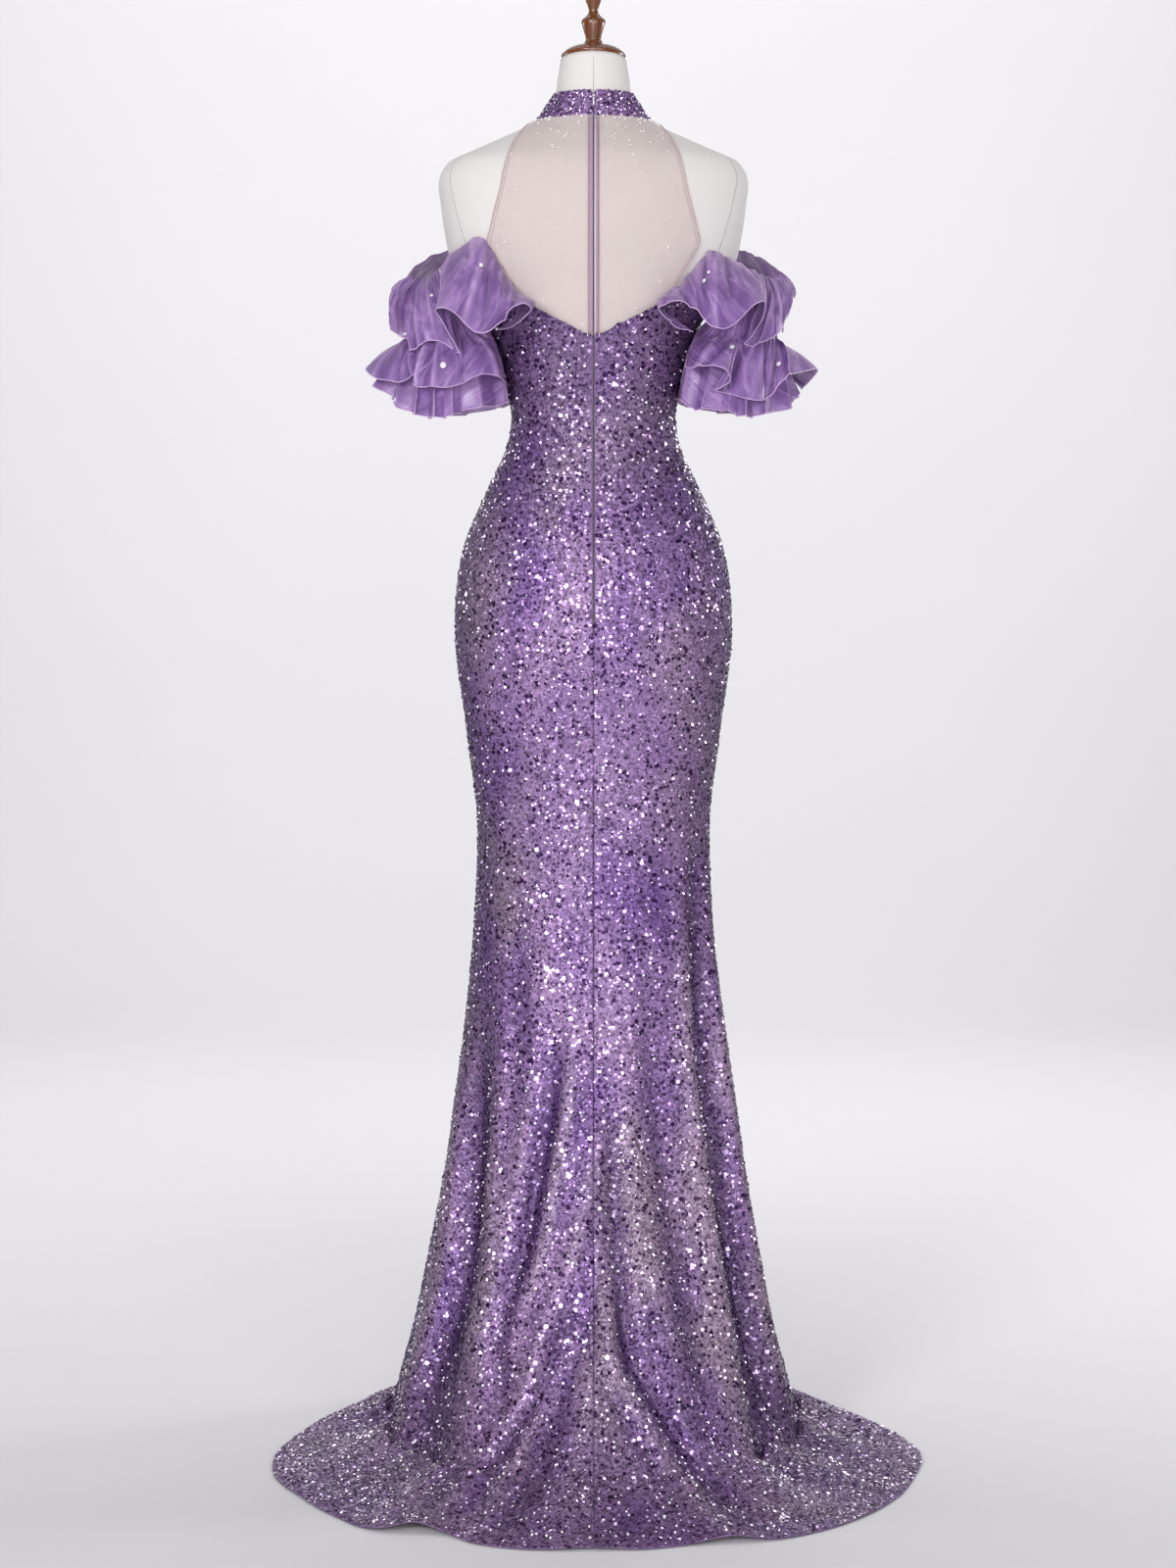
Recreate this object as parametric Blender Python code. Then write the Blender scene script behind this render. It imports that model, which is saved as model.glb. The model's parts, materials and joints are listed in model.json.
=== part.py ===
"""Evening gown on a dress form: halter back, flounced off-shoulder sleeves and a short train.

Metres, +Z up, floor at z = 0, the stand's axis on the origin. The gown's back faces -Y.
Every cloth piece is a shell of even wall, laid out on named rings, edges and stations.
"""

import math

import bpy
import numpy as np

# Driving sizes.
SEAM = 0.0003
YOKE_EASE = 0.0016
COLLAR_EASE = 0.0009
GOWN_EASE = 0.0015
SEQUIN_WALL = 0.0018
TULLE_WALL = 0.0010
ORGANZA_WALL = 0.0011
COLLAR_WALL = 0.0018
YOKE_GAP = 0.0007
TAPE_WALL = 0.0012
FOOT = 0.0006

COLLAR_TOP = 1.6345
COLLAR_FOOT = 1.6035
COLLAR_NOTCH = 0.0030
COLLAR_COLUMNS = 29
NOTCH_DEPTH = 0.0075
ZIP_END = 1.0000
ZIP_GROOVE = 0.0009
TAPE_EDGE = 0.0066
TAPE_TOP = 1.6015
TAPE_FOOT = 1.3425
COIL_TOP = 1.6200
COIL_FOOT = 1.0040
WAIST = 1.2409

# Dress form surface: height, half width, depth to the back, depth to the front, squareness.
FORM = np.array([
    (1.6755, 0.0397, 0.0397, 0.0397, 2.00),
    (1.6500, 0.0437, 0.0440, 0.0435, 2.00),
    (1.6345, 0.0460, 0.0465, 0.0460, 2.00),
    (1.6180, 0.0562, 0.0530, 0.0515, 2.00),
    (1.6035, 0.0676, 0.0590, 0.0565, 2.05),
    (1.5925, 0.0905, 0.0680, 0.0620, 2.05),
    (1.5830, 0.1115, 0.0760, 0.0680, 2.10),
    (1.5735, 0.1325, 0.0830, 0.0740, 2.10),
    (1.5640, 0.1535, 0.0900, 0.0790, 2.15),
    (1.5560, 0.1715, 0.0945, 0.0835, 2.20),
    (1.5440, 0.1825, 0.0995, 0.0900, 2.20),
    (1.5278, 0.1872, 0.1040, 0.0970, 2.20),
    (1.5078, 0.1853, 0.1080, 0.1060, 2.20),
    (1.4737, 0.1810, 0.1105, 0.1180, 2.20),
    (1.4478, 0.1767, 0.1100, 0.1240, 2.20),
    (1.4320, 0.1725, 0.1085, 0.1275, 2.20),
    (1.4150, 0.1640, 0.1065, 0.1300, 2.20),
    (1.3960, 0.1510, 0.1040, 0.1310, 2.20),
    (1.3780, 0.1380, 0.1015, 0.1300, 2.20),
    (1.3605, 0.1265, 0.0970, 0.1250, 2.20),
    (1.3463, 0.1190, 0.0940, 0.1200, 2.20),
    (1.3132, 0.1070, 0.0860, 0.1060, 2.20),
    (1.2753, 0.0993, 0.0785, 0.0930, 2.15),
    (1.2409, 0.0958, 0.0760, 0.0870, 2.15),
    (1.2065, 0.1030, 0.0795, 0.0880, 2.15),
    (1.1708, 0.1198, 0.0885, 0.0925, 2.20),
    (1.1351, 0.1360, 0.0995, 0.0975, 2.20),
    (1.0993, 0.1511, 0.1095, 0.1010, 2.20),
    (1.0634, 0.1596, 0.1175, 0.1020, 2.20),
    (1.0276, 0.1639, 0.1222, 0.1010, 2.20),
    (0.9916, 0.1652, 0.1230, 0.0990, 2.20),
    (0.9557, 0.1635, 0.1200, 0.0960, 2.20),
    (0.9197, 0.1588, 0.1150, 0.0935, 2.20),
    (0.8836, 0.1535, 0.1095, 0.0910, 2.15),
    (0.8600, 0.1500, 0.1060, 0.0900, 2.15),
])

FORM_ROWS = (
    1.6755, 1.6500, 1.6345, 1.6270, 1.6180, 1.6110, 1.6035, 1.5980, 1.5925, 1.5830, 1.5735, 1.5640,
    1.5560, 1.5440, 1.5278, 1.5000, 1.4600, 1.4320, 1.4150, 1.3960, 1.3780, 1.3605, 1.3463, 1.3250,
    1.2950, 1.2600, 1.2409, 1.2200, 1.1900, 1.1300, 1.0600, 0.9800, 0.8600,
)
FORM_COLUMNS = 28

# How far the form stays inside its table under the cloth: height, distance.
SLACK = np.array([
    (0.8600, 0.0015),
    (1.2000, 0.0015),
    (1.4000, 0.0012),
    (1.4400, 0.0004),
    (1.5500, 0.0005),
    (1.5735, 0.0018),
    (1.5940, 0.0028),
    (1.6035, 0.0004),
    (1.6180, 0.0000),
    (1.6755, 0.0000),
])

# Skirt outside below the hip: height, half width, back, front, squareness.
SKIRT = np.array([
    (0.8475, 0.1527, 0.1065, 0.0935, 2.10),
    (0.8113, 0.1474, 0.1040, 0.0930, 2.10),
    (0.7751, 0.1432, 0.1025, 0.0930, 2.10),
    (0.7388, 0.1416, 0.1030, 0.0940, 2.10),
    (0.7025, 0.1423, 0.1050, 0.0955, 2.10),
    (0.6297, 0.1461, 0.1130, 0.1000, 2.05),
    (0.5568, 0.1523, 0.1240, 0.1070, 2.05),
    (0.4836, 0.1604, 0.1390, 0.1160, 2.05),
    (0.4102, 0.1697, 0.1580, 0.1270, 2.00),
    (0.3366, 0.1791, 0.1810, 0.1400, 2.00),
    (0.2629, 0.1921, 0.2090, 0.1560, 2.00),
    (0.1889, 0.2063, 0.2430, 0.1740, 2.00),
    (0.1147, 0.2218, 0.2840, 0.1950, 2.00),
    (0.0776, 0.2324, 0.3100, 0.2070, 2.00),
    (0.0403, 0.2425, 0.3420, 0.2210, 2.00),
    (0.0150, 0.2530, 0.3780, 0.2370, 2.00),
])

# Hem on the floor: turn from the centre back in degrees, reach from the axis, lift off the floor.
HEM = np.array([
    (-180.0, 0.2900, 0.0000),
    (-150.0, 0.2920, 0.0000),
    (-123.0, 0.3100, 0.0000),
    (-105.0, 0.3150, 0.0000),
    (-92.0, 0.3400, 0.0000),
    (-78.0, 0.3770, 0.0000),
    (-70.0, 0.4050, 0.0010),
    (-58.0, 0.4420, 0.0000),
    (-46.0, 0.4650, 0.0010),
    (-37.0, 0.4880, 0.0000),
    (-28.0, 0.5050, 0.0030),
    (-24.0, 0.4900, 0.0100),
    (-20.0, 0.4880, 0.0030),
    (-15.0, 0.5080, 0.0000),
    (-8.0, 0.5180, 0.0000),
    (0.0, 0.5120, 0.0020),
    (6.0, 0.5150, 0.0000),
    (12.0, 0.5080, 0.0010),
    (17.0, 0.5080, 0.0060),
    (23.0, 0.5180, 0.0010),
    (30.0, 0.5120, 0.0000),
    (40.0, 0.4920, 0.0010),
    (48.0, 0.4720, 0.0000),
    (59.0, 0.4420, 0.0000),
    (67.0, 0.4260, 0.0010),
    (80.0, 0.3820, 0.0000),
    (90.0, 0.3480, 0.0000),
    (105.0, 0.3120, 0.0000),
    (123.0, 0.3020, 0.0000),
    (150.0, 0.2920, 0.0000),
    (180.0, 0.2900, 0.0000),
])

# Rows of a gown panel: parts of the way from neckline to waist, then heights. Turns of its columns
# from the centre back, and those of the sheer yoke's columns at the neckline.
BODICE_ROWS = (0.0, 0.16, 0.32, 0.48, 0.64, 0.82)
SKIRT_ROWS = (
    WAIST, 1.1900, 1.1300, 1.0650, 1.0030, 0.9970, 0.9000, 0.8000, 0.7000, 0.6000, 0.5000,
    0.4050, 0.3150, 0.2300, 0.1550, 0.0950, 0.0500, 0.0150,
)
BACK_TURNS = (0.0, 4.5, 9.5, 14.5, 19.5, 25.0, 31.0, 37.0, 43.0, 48.0, 53.0, 57.5, 62.0, 67.0, 73.0, 81.0, 90.0)
FRONT_TURNS = (90.0, 99.0, 108.0, 117.0, 126.0, 134.0, 142.0, 150.0, 158.0, 165.0, 172.0, 180.0)
YOKE_BACK_TURNS = (2.4, 4.5, 9.5, 14.5, 19.5, 25.0, 31.0)
YOKE_FRONT_TURNS = (142.0, 150.0, 158.0, 165.0, 172.0, 180.0)
YOKE_ROWS = 17

# Reach across the floor, as parts of the way from the skirt's foot to the hem.
FLOOR_ROWS = (0.22, 0.48, 0.74, 1.00)

# Folds: turn at the top, turn at the floor, depth, half width in degrees, height where it starts,
# lift of the ridge it leaves on the train.
FOLDS = np.array([
    (-56.0, -53.0, 0.0170, 9.0, 0.620, 0.0050),
    (-35.0, -37.0, 0.0070, 9.0, 0.420, 0.0060),
    (-15.0, -27.0, 0.0110, 7.5, 0.560, 0.0060),
    (-3.0, -15.5, 0.0200, 6.5, 0.300, 0.0130),
    (6.0, 4.0, 0.0080, 7.0, 0.440, 0.0060),
    (14.0, 21.0, 0.0110, 7.0, 0.300, 0.0110),
    (34.0, 36.0, 0.0050, 9.0, 0.360, 0.0050),
    (60.0, 58.0, 0.0240, 7.5, 0.800, 0.0080),
    (84.0, 83.0, 0.0070, 9.0, 0.450, 0.0040),
    (-84.0, -82.0, 0.0060, 9.0, 0.400, 0.0040),
    (112.0, 114.0, 0.0090, 12.0, 0.500, 0.0030),
    (146.0, 148.0, 0.0110, 13.0, 0.560, 0.0030),
    (-112.0, -114.0, 0.0090, 12.0, 0.500, 0.0030),
    (-146.0, -148.0, 0.0110, 13.0, 0.560, 0.0030),
    (180.0, 180.0, 0.0060, 12.0, 0.420, 0.0030),
])

# Neckline of the sequinned bodice: turn from the centre back, height.
NECKLINE = np.array([
    (0.0, 1.3403),
    (2.4, 1.3418),
    (4.5, 1.3433),
    (9.5, 1.3498),
    (14.5, 1.3559),
    (19.5, 1.3619),
    (25.0, 1.3687),
    (31.0, 1.3769),
    (37.0, 1.3800),
    (45.0, 1.3802),
    (60.0, 1.3748),
    (90.0, 1.3725),
    (115.0, 1.3950),
    (135.0, 1.4230),
    (148.0, 1.4330),
    (160.0, 1.4270),
    (172.0, 1.4060),
    (180.0, 1.3970),
])

# Edges of the sheer yoke: height at the centre, half width and height at the armhole.
YOKE_BACK = np.array([
    (1.6025, 0.0690, 1.6018),
    (1.5900, 0.0795, 1.5958),
    (1.5665, 0.0953, 1.5701),
    (1.5383, 0.1045, 1.5435),
    (1.5057, 0.1101, 1.5159),
    (1.4763, 0.1164, 1.4914),
    (1.4470, 0.1223, 1.4669),
    (1.4177, 0.1252, 1.4493),
    (1.3884, 0.1106, 1.4229),
    (1.3639, 0.0930, 1.3965),
    (1.3426, 0.0755, 1.3785),
])
YOKE_FRONT = np.array([
    (1.6025, 0.0690, 1.6018),
    (1.5900, 0.0795, 1.5958),
    (1.5700, 0.0910, 1.5735),
    (1.5400, 0.0990, 1.5450),
    (1.5100, 0.1050, 1.5150),
    (1.4800, 0.1090, 1.4850),
    (1.4500, 0.1110, 1.4580),
    (1.4340, 0.1100, 1.4340),
])

# Rings under a sleeve's flounces: height, distance of the middle from the axis, middle to the back,
# half width, half depth, rise of the outer side.
ARM_BAND = np.array([
    (1.3860, 0.1850, 0.0060, 0.0290, 0.0420, 0.0060),
    (1.3400, 0.1721, 0.0150, 0.0469, 0.0550, 0.0000),
])

# Stations of the left sleeve's upper flounce, from the back neckline corner round to the front:
# seam across, seam depth, seam height, hem across, hem depth, hem height.
LEFT_UPPER = np.array([
    (-0.0879, -0.0915, 1.3726, -0.1129, -0.1080, 1.3462),
    (-0.0771, -0.0955, 1.3767, -0.0950, -0.1220, 1.3492),
    (-0.0801, -0.0950, 1.3812, -0.0738, -0.1420, 1.3667),
    (-0.0859, -0.0940, 1.3861, -0.0826, -0.1580, 1.3723),
    (-0.0918, -0.0925, 1.3921, -0.0978, -0.1630, 1.3657),
    (-0.0997, -0.0915, 1.4039, -0.1075, -0.1600, 1.3534),
    (-0.1085, -0.0905, 1.4186, -0.1210, -0.1580, 1.3420),
    (-0.1173, -0.0890, 1.4344, -0.1364, -0.1580, 1.3401),
    (-0.1257, -0.0870, 1.4487, -0.1481, -0.1520, 1.3482),
    (-0.1362, -0.0805, 1.4572, -0.1601, -0.1420, 1.3614),
    (-0.1523, -0.0690, 1.4508, -0.1741, -0.1320, 1.3698),
    (-0.1676, -0.0560, 1.4402, -0.1866, -0.1120, 1.3692),
    (-0.1800, -0.0440, 1.4293, -0.1827, -0.0920, 1.3579),
    (-0.1925, -0.0300, 1.4166, -0.1793, -0.0800, 1.3450),
    (-0.1990, -0.0210, 1.4128, -0.1929, -0.0840, 1.3399),
    (-0.2054, -0.0120, 1.4121, -0.2088, -0.0780, 1.3451),
    (-0.2113, -0.0030, 1.4128, -0.2256, -0.0600, 1.3640),
    (-0.2173, 0.0060, 1.4135, -0.2407, -0.0380, 1.3773),
    (-0.2214, 0.0160, 1.4173, -0.2456, -0.0150, 1.3730),
    (-0.2239, 0.0260, 1.4211, -0.2405, 0.0080, 1.3575),
    (-0.2153, 0.0430, 1.4346, -0.2339, 0.0320, 1.3510),
    (-0.1999, 0.0580, 1.4449, -0.2324, 0.0600, 1.3598),
    (-0.1831, 0.0690, 1.4530, -0.2310, 0.0880, 1.3780),
    (-0.1652, 0.0790, 1.4600, -0.2117, 0.1100, 1.3815),
    (-0.1462, 0.0900, 1.4620, -0.1874, 0.1180, 1.3656),
    (-0.1302, 0.1000, 1.4526, -0.1654, 0.1340, 1.3677),
    (-0.1171, 0.1090, 1.4410, -0.1391, 0.1520, 1.3906),
    (-0.1090, 0.1150, 1.4302, -0.1162, 0.1500, 1.3863),
])
RIGHT_UPPER = np.array([
    (0.0909, -0.0910, 1.3707, 0.1177, -0.1080, 1.3433),
    (0.0796, -0.0945, 1.3734, 0.1018, -0.1200, 1.3464),
    (0.0820, -0.0940, 1.3778, 0.0890, -0.1300, 1.3545),
    (0.0869, -0.0930, 1.3833, 0.0776, -0.1420, 1.3681),
    (0.0943, -0.0920, 1.3931, 0.0865, -0.1560, 1.3748),
    (0.1026, -0.0910, 1.4020, 0.1012, -0.1620, 1.3759),
    (0.1114, -0.0895, 1.4109, 0.1151, -0.1620, 1.3696),
    (0.1233, -0.0870, 1.4238, 0.1248, -0.1600, 1.3597),
    (0.1317, -0.0835, 1.4368, 0.1363, -0.1600, 1.3477),
    (0.1397, -0.0790, 1.4416, 0.1498, -0.1580, 1.3440),
    (0.1513, -0.0690, 1.4390, 0.1626, -0.1520, 1.3487),
    (0.1646, -0.0570, 1.4332, 0.1755, -0.1420, 1.3604),
    (0.1780, -0.0440, 1.4274, 0.1888, -0.1280, 1.3739),
    (0.1901, -0.0300, 1.4221, 0.2034, -0.1080, 1.3802),
    (0.2001, -0.0180, 1.4181, 0.2035, -0.0870, 1.3690),
    (0.2075, -0.0100, 1.4162, 0.1993, -0.0720, 1.3514),
    (0.2134, -0.0020, 1.4158, 0.2091, -0.0740, 1.3414),
    (0.2189, 0.0070, 1.4156, 0.2234, -0.0640, 1.3470),
    (0.2234, 0.0160, 1.4173, 0.2330, -0.0420, 1.3632),
    (0.2260, 0.0260, 1.4211, 0.2368, -0.0200, 1.3766),
    (0.2202, 0.0400, 1.4313, 0.2363, 0.0050, 1.3723),
    (0.2086, 0.0510, 1.4423, 0.2327, 0.0300, 1.3559),
    (0.1959, 0.0600, 1.4492, 0.2323, 0.0580, 1.3536),
    (0.1821, 0.0690, 1.4540, 0.2329, 0.0860, 1.3738),
    (0.1642, 0.0790, 1.4600, 0.2117, 0.1100, 1.3815),
    (0.1462, 0.0900, 1.4620, 0.1874, 0.1180, 1.3656),
    (0.1302, 0.1000, 1.4526, 0.1654, 0.1340, 1.3677),
    (0.1171, 0.1090, 1.4410, 0.1391, 0.1520, 1.3906),
    (0.1090, 0.1150, 1.4302, 0.1162, 0.1500, 1.3863),
])

# Hem stations of the lower flounces, once round the arm from the inner back: across, depth, height.
LEFT_OVER = np.array([
    (-0.1192, -0.0750, 1.2899),
    (-0.1348, -0.0920, 1.2949),
    (-0.1439, -0.0970, 1.2922),
    (-0.1579, -0.1010, 1.2828),
    (-0.1744, -0.1030, 1.2788),
    (-0.1930, -0.1010, 1.2794),
    (-0.2109, -0.0950, 1.2806),
    (-0.2116, -0.0820, 1.2959),
    (-0.2177, -0.0770, 1.2922),
    (-0.2304, -0.0780, 1.2863),
    (-0.2465, -0.0710, 1.2886),
    (-0.2640, -0.0520, 1.2925),
    (-0.2756, -0.0280, 1.3041),
    (-0.2719, -0.0020, 1.3059),
    (-0.2613, 0.0200, 1.2990),
    (-0.2589, 0.0450, 1.2942),
    (-0.2595, 0.0700, 1.3035),
    (-0.2412, 0.0880, 1.3003),
    (-0.2166, 0.0860, 1.2900),
    (-0.1945, 0.0940, 1.2965),
    (-0.1687, 0.0900, 1.2922),
    (-0.1426, 0.0740, 1.2956),
    (-0.1223, 0.0440, 1.2921),
    (-0.1140, 0.0000, 1.2880),
    (-0.1133, -0.0420, 1.2880),
])
RIGHT_OVER = np.array([
    (0.1150, -0.0700, 1.3132),
    (0.1179, -0.0860, 1.3045),
    (0.1258, -0.0980, 1.3014),
    (0.1363, -0.1060, 1.3044),
    (0.1488, -0.1085, 1.3033),
    (0.1600, -0.1080, 1.2960),
    (0.1618, -0.1000, 1.2860),
    (0.1520, -0.0955, 1.2790),
    (0.1490, -0.0890, 1.2755),
    (0.1580, -0.0865, 1.2725),
    (0.1718, -0.0945, 1.2684),
    (0.1867, -0.1010, 1.2642),
    (0.2010, -0.0960, 1.2640),
    (0.2120, -0.0870, 1.2705),
    (0.2200, -0.0820, 1.2810),
    (0.2285, -0.0800, 1.2910),
    (0.2400, -0.0715, 1.2965),
    (0.2566, -0.0530, 1.3008),
    (0.2721, -0.0280, 1.3046),
    (0.2677, -0.0040, 1.2968),
    (0.2593, 0.0200, 1.2859),
    (0.2569, 0.0450, 1.2840),
    (0.2574, 0.0690, 1.2933),
    (0.2391, 0.0870, 1.2921),
    (0.2145, 0.0860, 1.2839),
    (0.1934, 0.0940, 1.2904),
    (0.1677, 0.0900, 1.2881),
    (0.1426, 0.0740, 1.2915),
    (0.1233, 0.0440, 1.2941),
    (0.1140, 0.0000, 1.2960),
    (0.1129, -0.0400, 1.3059),
])
LEFT_UNDER = np.array([
    (-0.1232, -0.0560, 1.2617),
    (-0.1355, -0.0720, 1.2576),
    (-0.1490, -0.0800, 1.2548),
    (-0.1625, -0.0850, 1.2483),
    (-0.1790, -0.0870, 1.2443),
    (-0.1958, -0.0850, 1.2444),
    (-0.2127, -0.0790, 1.2480),
    (-0.2291, -0.0670, 1.2549),
    (-0.2439, -0.0500, 1.2659),
    (-0.2562, -0.0280, 1.2797),
    (-0.2597, -0.0040, 1.2868),
    (-0.2533, 0.0200, 1.2809),
    (-0.2405, 0.0420, 1.2698),
    (-0.2222, 0.0580, 1.2603),
    (-0.2003, 0.0670, 1.2525),
    (-0.1770, 0.0700, 1.2506),
    (-0.1535, 0.0660, 1.2545),
    (-0.1318, 0.0560, 1.2602),
    (-0.1191, 0.0360, 1.2635),
    (-0.1172, 0.0060, 1.2652),
    (-0.1172, -0.0280, 1.2648),
])
RIGHT_UNDER = np.array([
    (0.1242, -0.0560, 1.2637),
    (0.1326, -0.0710, 1.2542),
    (0.1460, -0.0810, 1.2538),
    (0.1624, -0.0860, 1.2507),
    (0.1791, -0.0860, 1.2448),
    (0.1949, -0.0830, 1.2459),
    (0.2109, -0.0760, 1.2511),
    (0.2254, -0.0630, 1.2526),
    (0.2364, -0.0440, 1.2612),
    (0.2428, -0.0200, 1.2711),
    (0.2444, 0.0060, 1.2743),
    (0.2398, 0.0300, 1.2683),
    (0.2268, 0.0500, 1.2600),
    (0.2072, 0.0630, 1.2534),
    (0.1841, 0.0690, 1.2526),
    (0.1596, 0.0670, 1.2545),
    (0.1370, 0.0580, 1.2603),
    (0.1201, 0.0380, 1.2656),
    (0.1172, 0.0060, 1.2683),
    (0.1172, -0.0280, 1.2688),
])
PLEATS = 14
PLEAT_DEPTH = 0.0042
GATHER_FOLLOW = 0.5
GATHER_LEAST = 0.3
FRILL_CLEAR = 0.0018
FLOUNCE_SWELL = 0.0110
SEATED_TO = 0.1270
FREE_FROM = 0.1500
FRILL_SWELL = 0.0060

# Turned finial and neck cap: height, radius.
CAP = np.array([
    (1.6759, 0.0394),
    (1.6785, 0.0399),
    (1.6815, 0.0385),
    (1.6870, 0.0330),
    (1.6915, 0.0250),
    (1.6940, 0.0165),
    (1.6950, 0.0126),
])
FINIAL = np.array([
    (1.6953, 0.0122),
    (1.6975, 0.0108),
    (1.7000, 0.0094),
    (1.7034, 0.0103),
    (1.7110, 0.0126),
    (1.7197, 0.0147),
    (1.7240, 0.0136),
    (1.7285, 0.0085),
    (1.7337, 0.0057),
    (1.7400, 0.0074),
    (1.7468, 0.0101),
    (1.7510, 0.0100),
    (1.7545, 0.0076),
    (1.7590, 0.0098),
    (1.7650, 0.0130),
    (1.7730, 0.0140),
    (1.7810, 0.0122),
    (1.7870, 0.0082),
    (1.7900, 0.0040),
])
CAP_TILT = 0.15
CAP_REACH = 0.0397

POLE_RADIUS = 0.0125
POLE_SOCKET = 0.0220
BASE_RADIUS = 0.1600
BASE_EDGE = 0.0090
BASE_RISE = 0.0220

SLIDER_TOP = 1.6290
SLIDER_HALF = 0.0022
SLIDER_LENGTH = 0.0065
SLIDER_THICK = 0.0018
PULL_HALF = 0.0015
PULL_LENGTH = 0.0120
PULL_THICK = 0.0009
PULL_PIVOT = 1.6255
PULL_HEAD = 0.0004
PULL_CLEAR = 0.0006


def between(table, z, column):
    """Smoothly reads a column of a table at heights z, with the first column as its key."""
    rows = table[np.argsort(table[:, 0])]
    x = rows[:, 0]
    y = rows[:, column]
    slope = np.gradient(y, x)
    z = np.clip(np.asarray(z, float), x[0], x[-1])
    i = np.clip(np.searchsorted(x, z) - 1, 0, len(x) - 2)
    h = x[i + 1] - x[i]
    t = (z - x[i]) / h
    a = 2 * t**3 - 3 * t**2 + 1
    b = t**3 - 2 * t**2 + t
    c = 3 * t**2 - 2 * t**3
    d = t**3 - t**2
    return a * y[i] + b * h * slope[i] + c * y[i + 1] + d * h * slope[i + 1]


def ring_point(table, turn, z, out):
    """Point of a section table at a turn in degrees and a height, moved out by out."""
    t = np.radians(turn)
    power = 2.0 / between(table, z, 4)
    half = between(table, z, 1) + out
    back = between(table, z, 2) + out
    front = between(table, z, 3) + out
    sx = np.sign(np.sin(t)) * np.abs(np.sin(t)) ** power
    cy = np.abs(np.cos(t)) ** power
    y = np.where(np.cos(t) >= 0.0, -back * cy, front * cy)
    return np.stack([half * sx, y, np.broadcast_to(z, np.shape(sx))], axis=-1)


def turn_at(half_width, z, out):
    """Turn in degrees at which the form's section is this wide."""
    ratio = np.clip(half_width / (between(FORM, z, 1) + out), 0.0, 1.0)
    return np.degrees(np.arcsin(ratio ** (between(FORM, z, 4) / 2.0)))


def ease_in(x):
    x = np.clip(x, 0.0, 1.0)
    return x * x * (3.0 - 2.0 * x)


GOWN_OUT = GOWN_EASE + SEQUIN_WALL
GOWN = np.vstack([
    FORM[4:34] + np.array([0.0, GOWN_OUT, GOWN_OUT, GOWN_OUT, 0.0]),
    SKIRT,
])


def fold_shift(turn, z):
    """Inward move of the skirt at its folds."""
    shift = np.zeros(np.broadcast(turn, z).shape)
    for top, foot, depth, width, start, _ in FOLDS:
        down = np.clip((start - z) / start, 0.0, 1.0)
        middle = top + (foot - top) * down
        away = (turn - middle + 180.0) % 360.0 - 180.0
        ridge = np.exp(-((away / width) ** 2)) - 0.45 * np.exp(-(((np.abs(away) - 1.7 * width) / width) ** 2))
        shift = shift + depth * ease_in(down * 1.6) * ridge
    return shift


def train_lift(turn):
    """Height of the ridges that the folds leave on the train."""
    lift = np.zeros(np.shape(turn))
    for _, foot, _, width, _, rise in FOLDS:
        away = (np.abs((turn - foot + 180.0) % 360.0 - 180.0) - 1.5 * width) / (0.9 * width)
        lift = lift + rise * np.exp(-(away**2))
    return lift


def skirt_point(turn, z):
    point = ring_point(GOWN, turn, z, 0.0)
    reach = np.linalg.norm(point[..., :2], axis=-1)
    shorter = (reach - fold_shift(turn, z)) / reach
    point[..., 0] = point[..., 0] * shorter
    point[..., 1] = point[..., 1] * shorter
    return point


def train_point(turn, part):
    """Point on the train, part of the way from the skirt's foot to the hem."""
    foot = skirt_point(turn, np.full(np.shape(turn), SKIRT[-1, 0]))
    azimuth = np.degrees(np.arctan2(foot[..., 0], -foot[..., 1]))
    reach = np.linalg.norm(foot[..., :2], axis=-1)
    hem = between(HEM, azimuth, 1)
    out = reach + (hem - reach) * part
    point = foot.copy()
    point[..., 0] = foot[..., 0] / reach * out
    point[..., 1] = foot[..., 1] / reach * out
    low = FOOT + SEQUIN_WALL
    ridge = train_lift(azimuth) * (1.0 - part) ** 1.5
    point[..., 2] = low + ridge + between(HEM, azimuth, 2) * part**3
    point[..., 2] += (SKIRT[-1, 0] - low) * (1.0 - part) ** 6
    return point


def panel_rows(turn):
    """Grid of a gown panel's outside for its columns' turns, from the neckline to the hem."""
    neck = between(NECKLINE, 180.0 - np.abs(180.0 - np.abs(turn)), 1)
    rows = []
    for part in BODICE_ROWS:
        rows.append(skirt_point(turn, neck + (WAIST - neck) * part))
    for z in SKIRT_ROWS:
        rows.append(skirt_point(turn, np.full(len(turn), z)))
    for part in FLOOR_ROWS:
        rows.append(train_point(turn, part))
    return np.array(rows)


def normals_of(grid, closed):
    """Unit normals of a grid of points, rows by columns."""
    if closed:
        along = np.roll(grid, -1, axis=1) - np.roll(grid, 1, axis=1)
    else:
        along = np.gradient(grid, axis=1)
    down = np.gradient(grid, axis=0)
    normal = np.cross(along, down)
    return normal / np.maximum(np.linalg.norm(normal, axis=-1, keepdims=True), 1e-12)


def add_mesh(name, points, faces, look):
    mesh = bpy.data.meshes.new(name)
    mesh.from_pydata([tuple(p) for p in points], [], faces)
    mesh.update()
    made = bpy.data.objects.new(name, mesh)
    bpy.context.scene.collection.objects.link(made)
    made.data.materials.append(look)
    return made


def signed_volume(points, faces):
    total = 0.0
    for face in faces:
        for i in range(1, len(face) - 1):
            total += np.dot(points[face[0]], np.cross(points[face[i]], points[face[i + 1]]))
    return total


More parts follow.
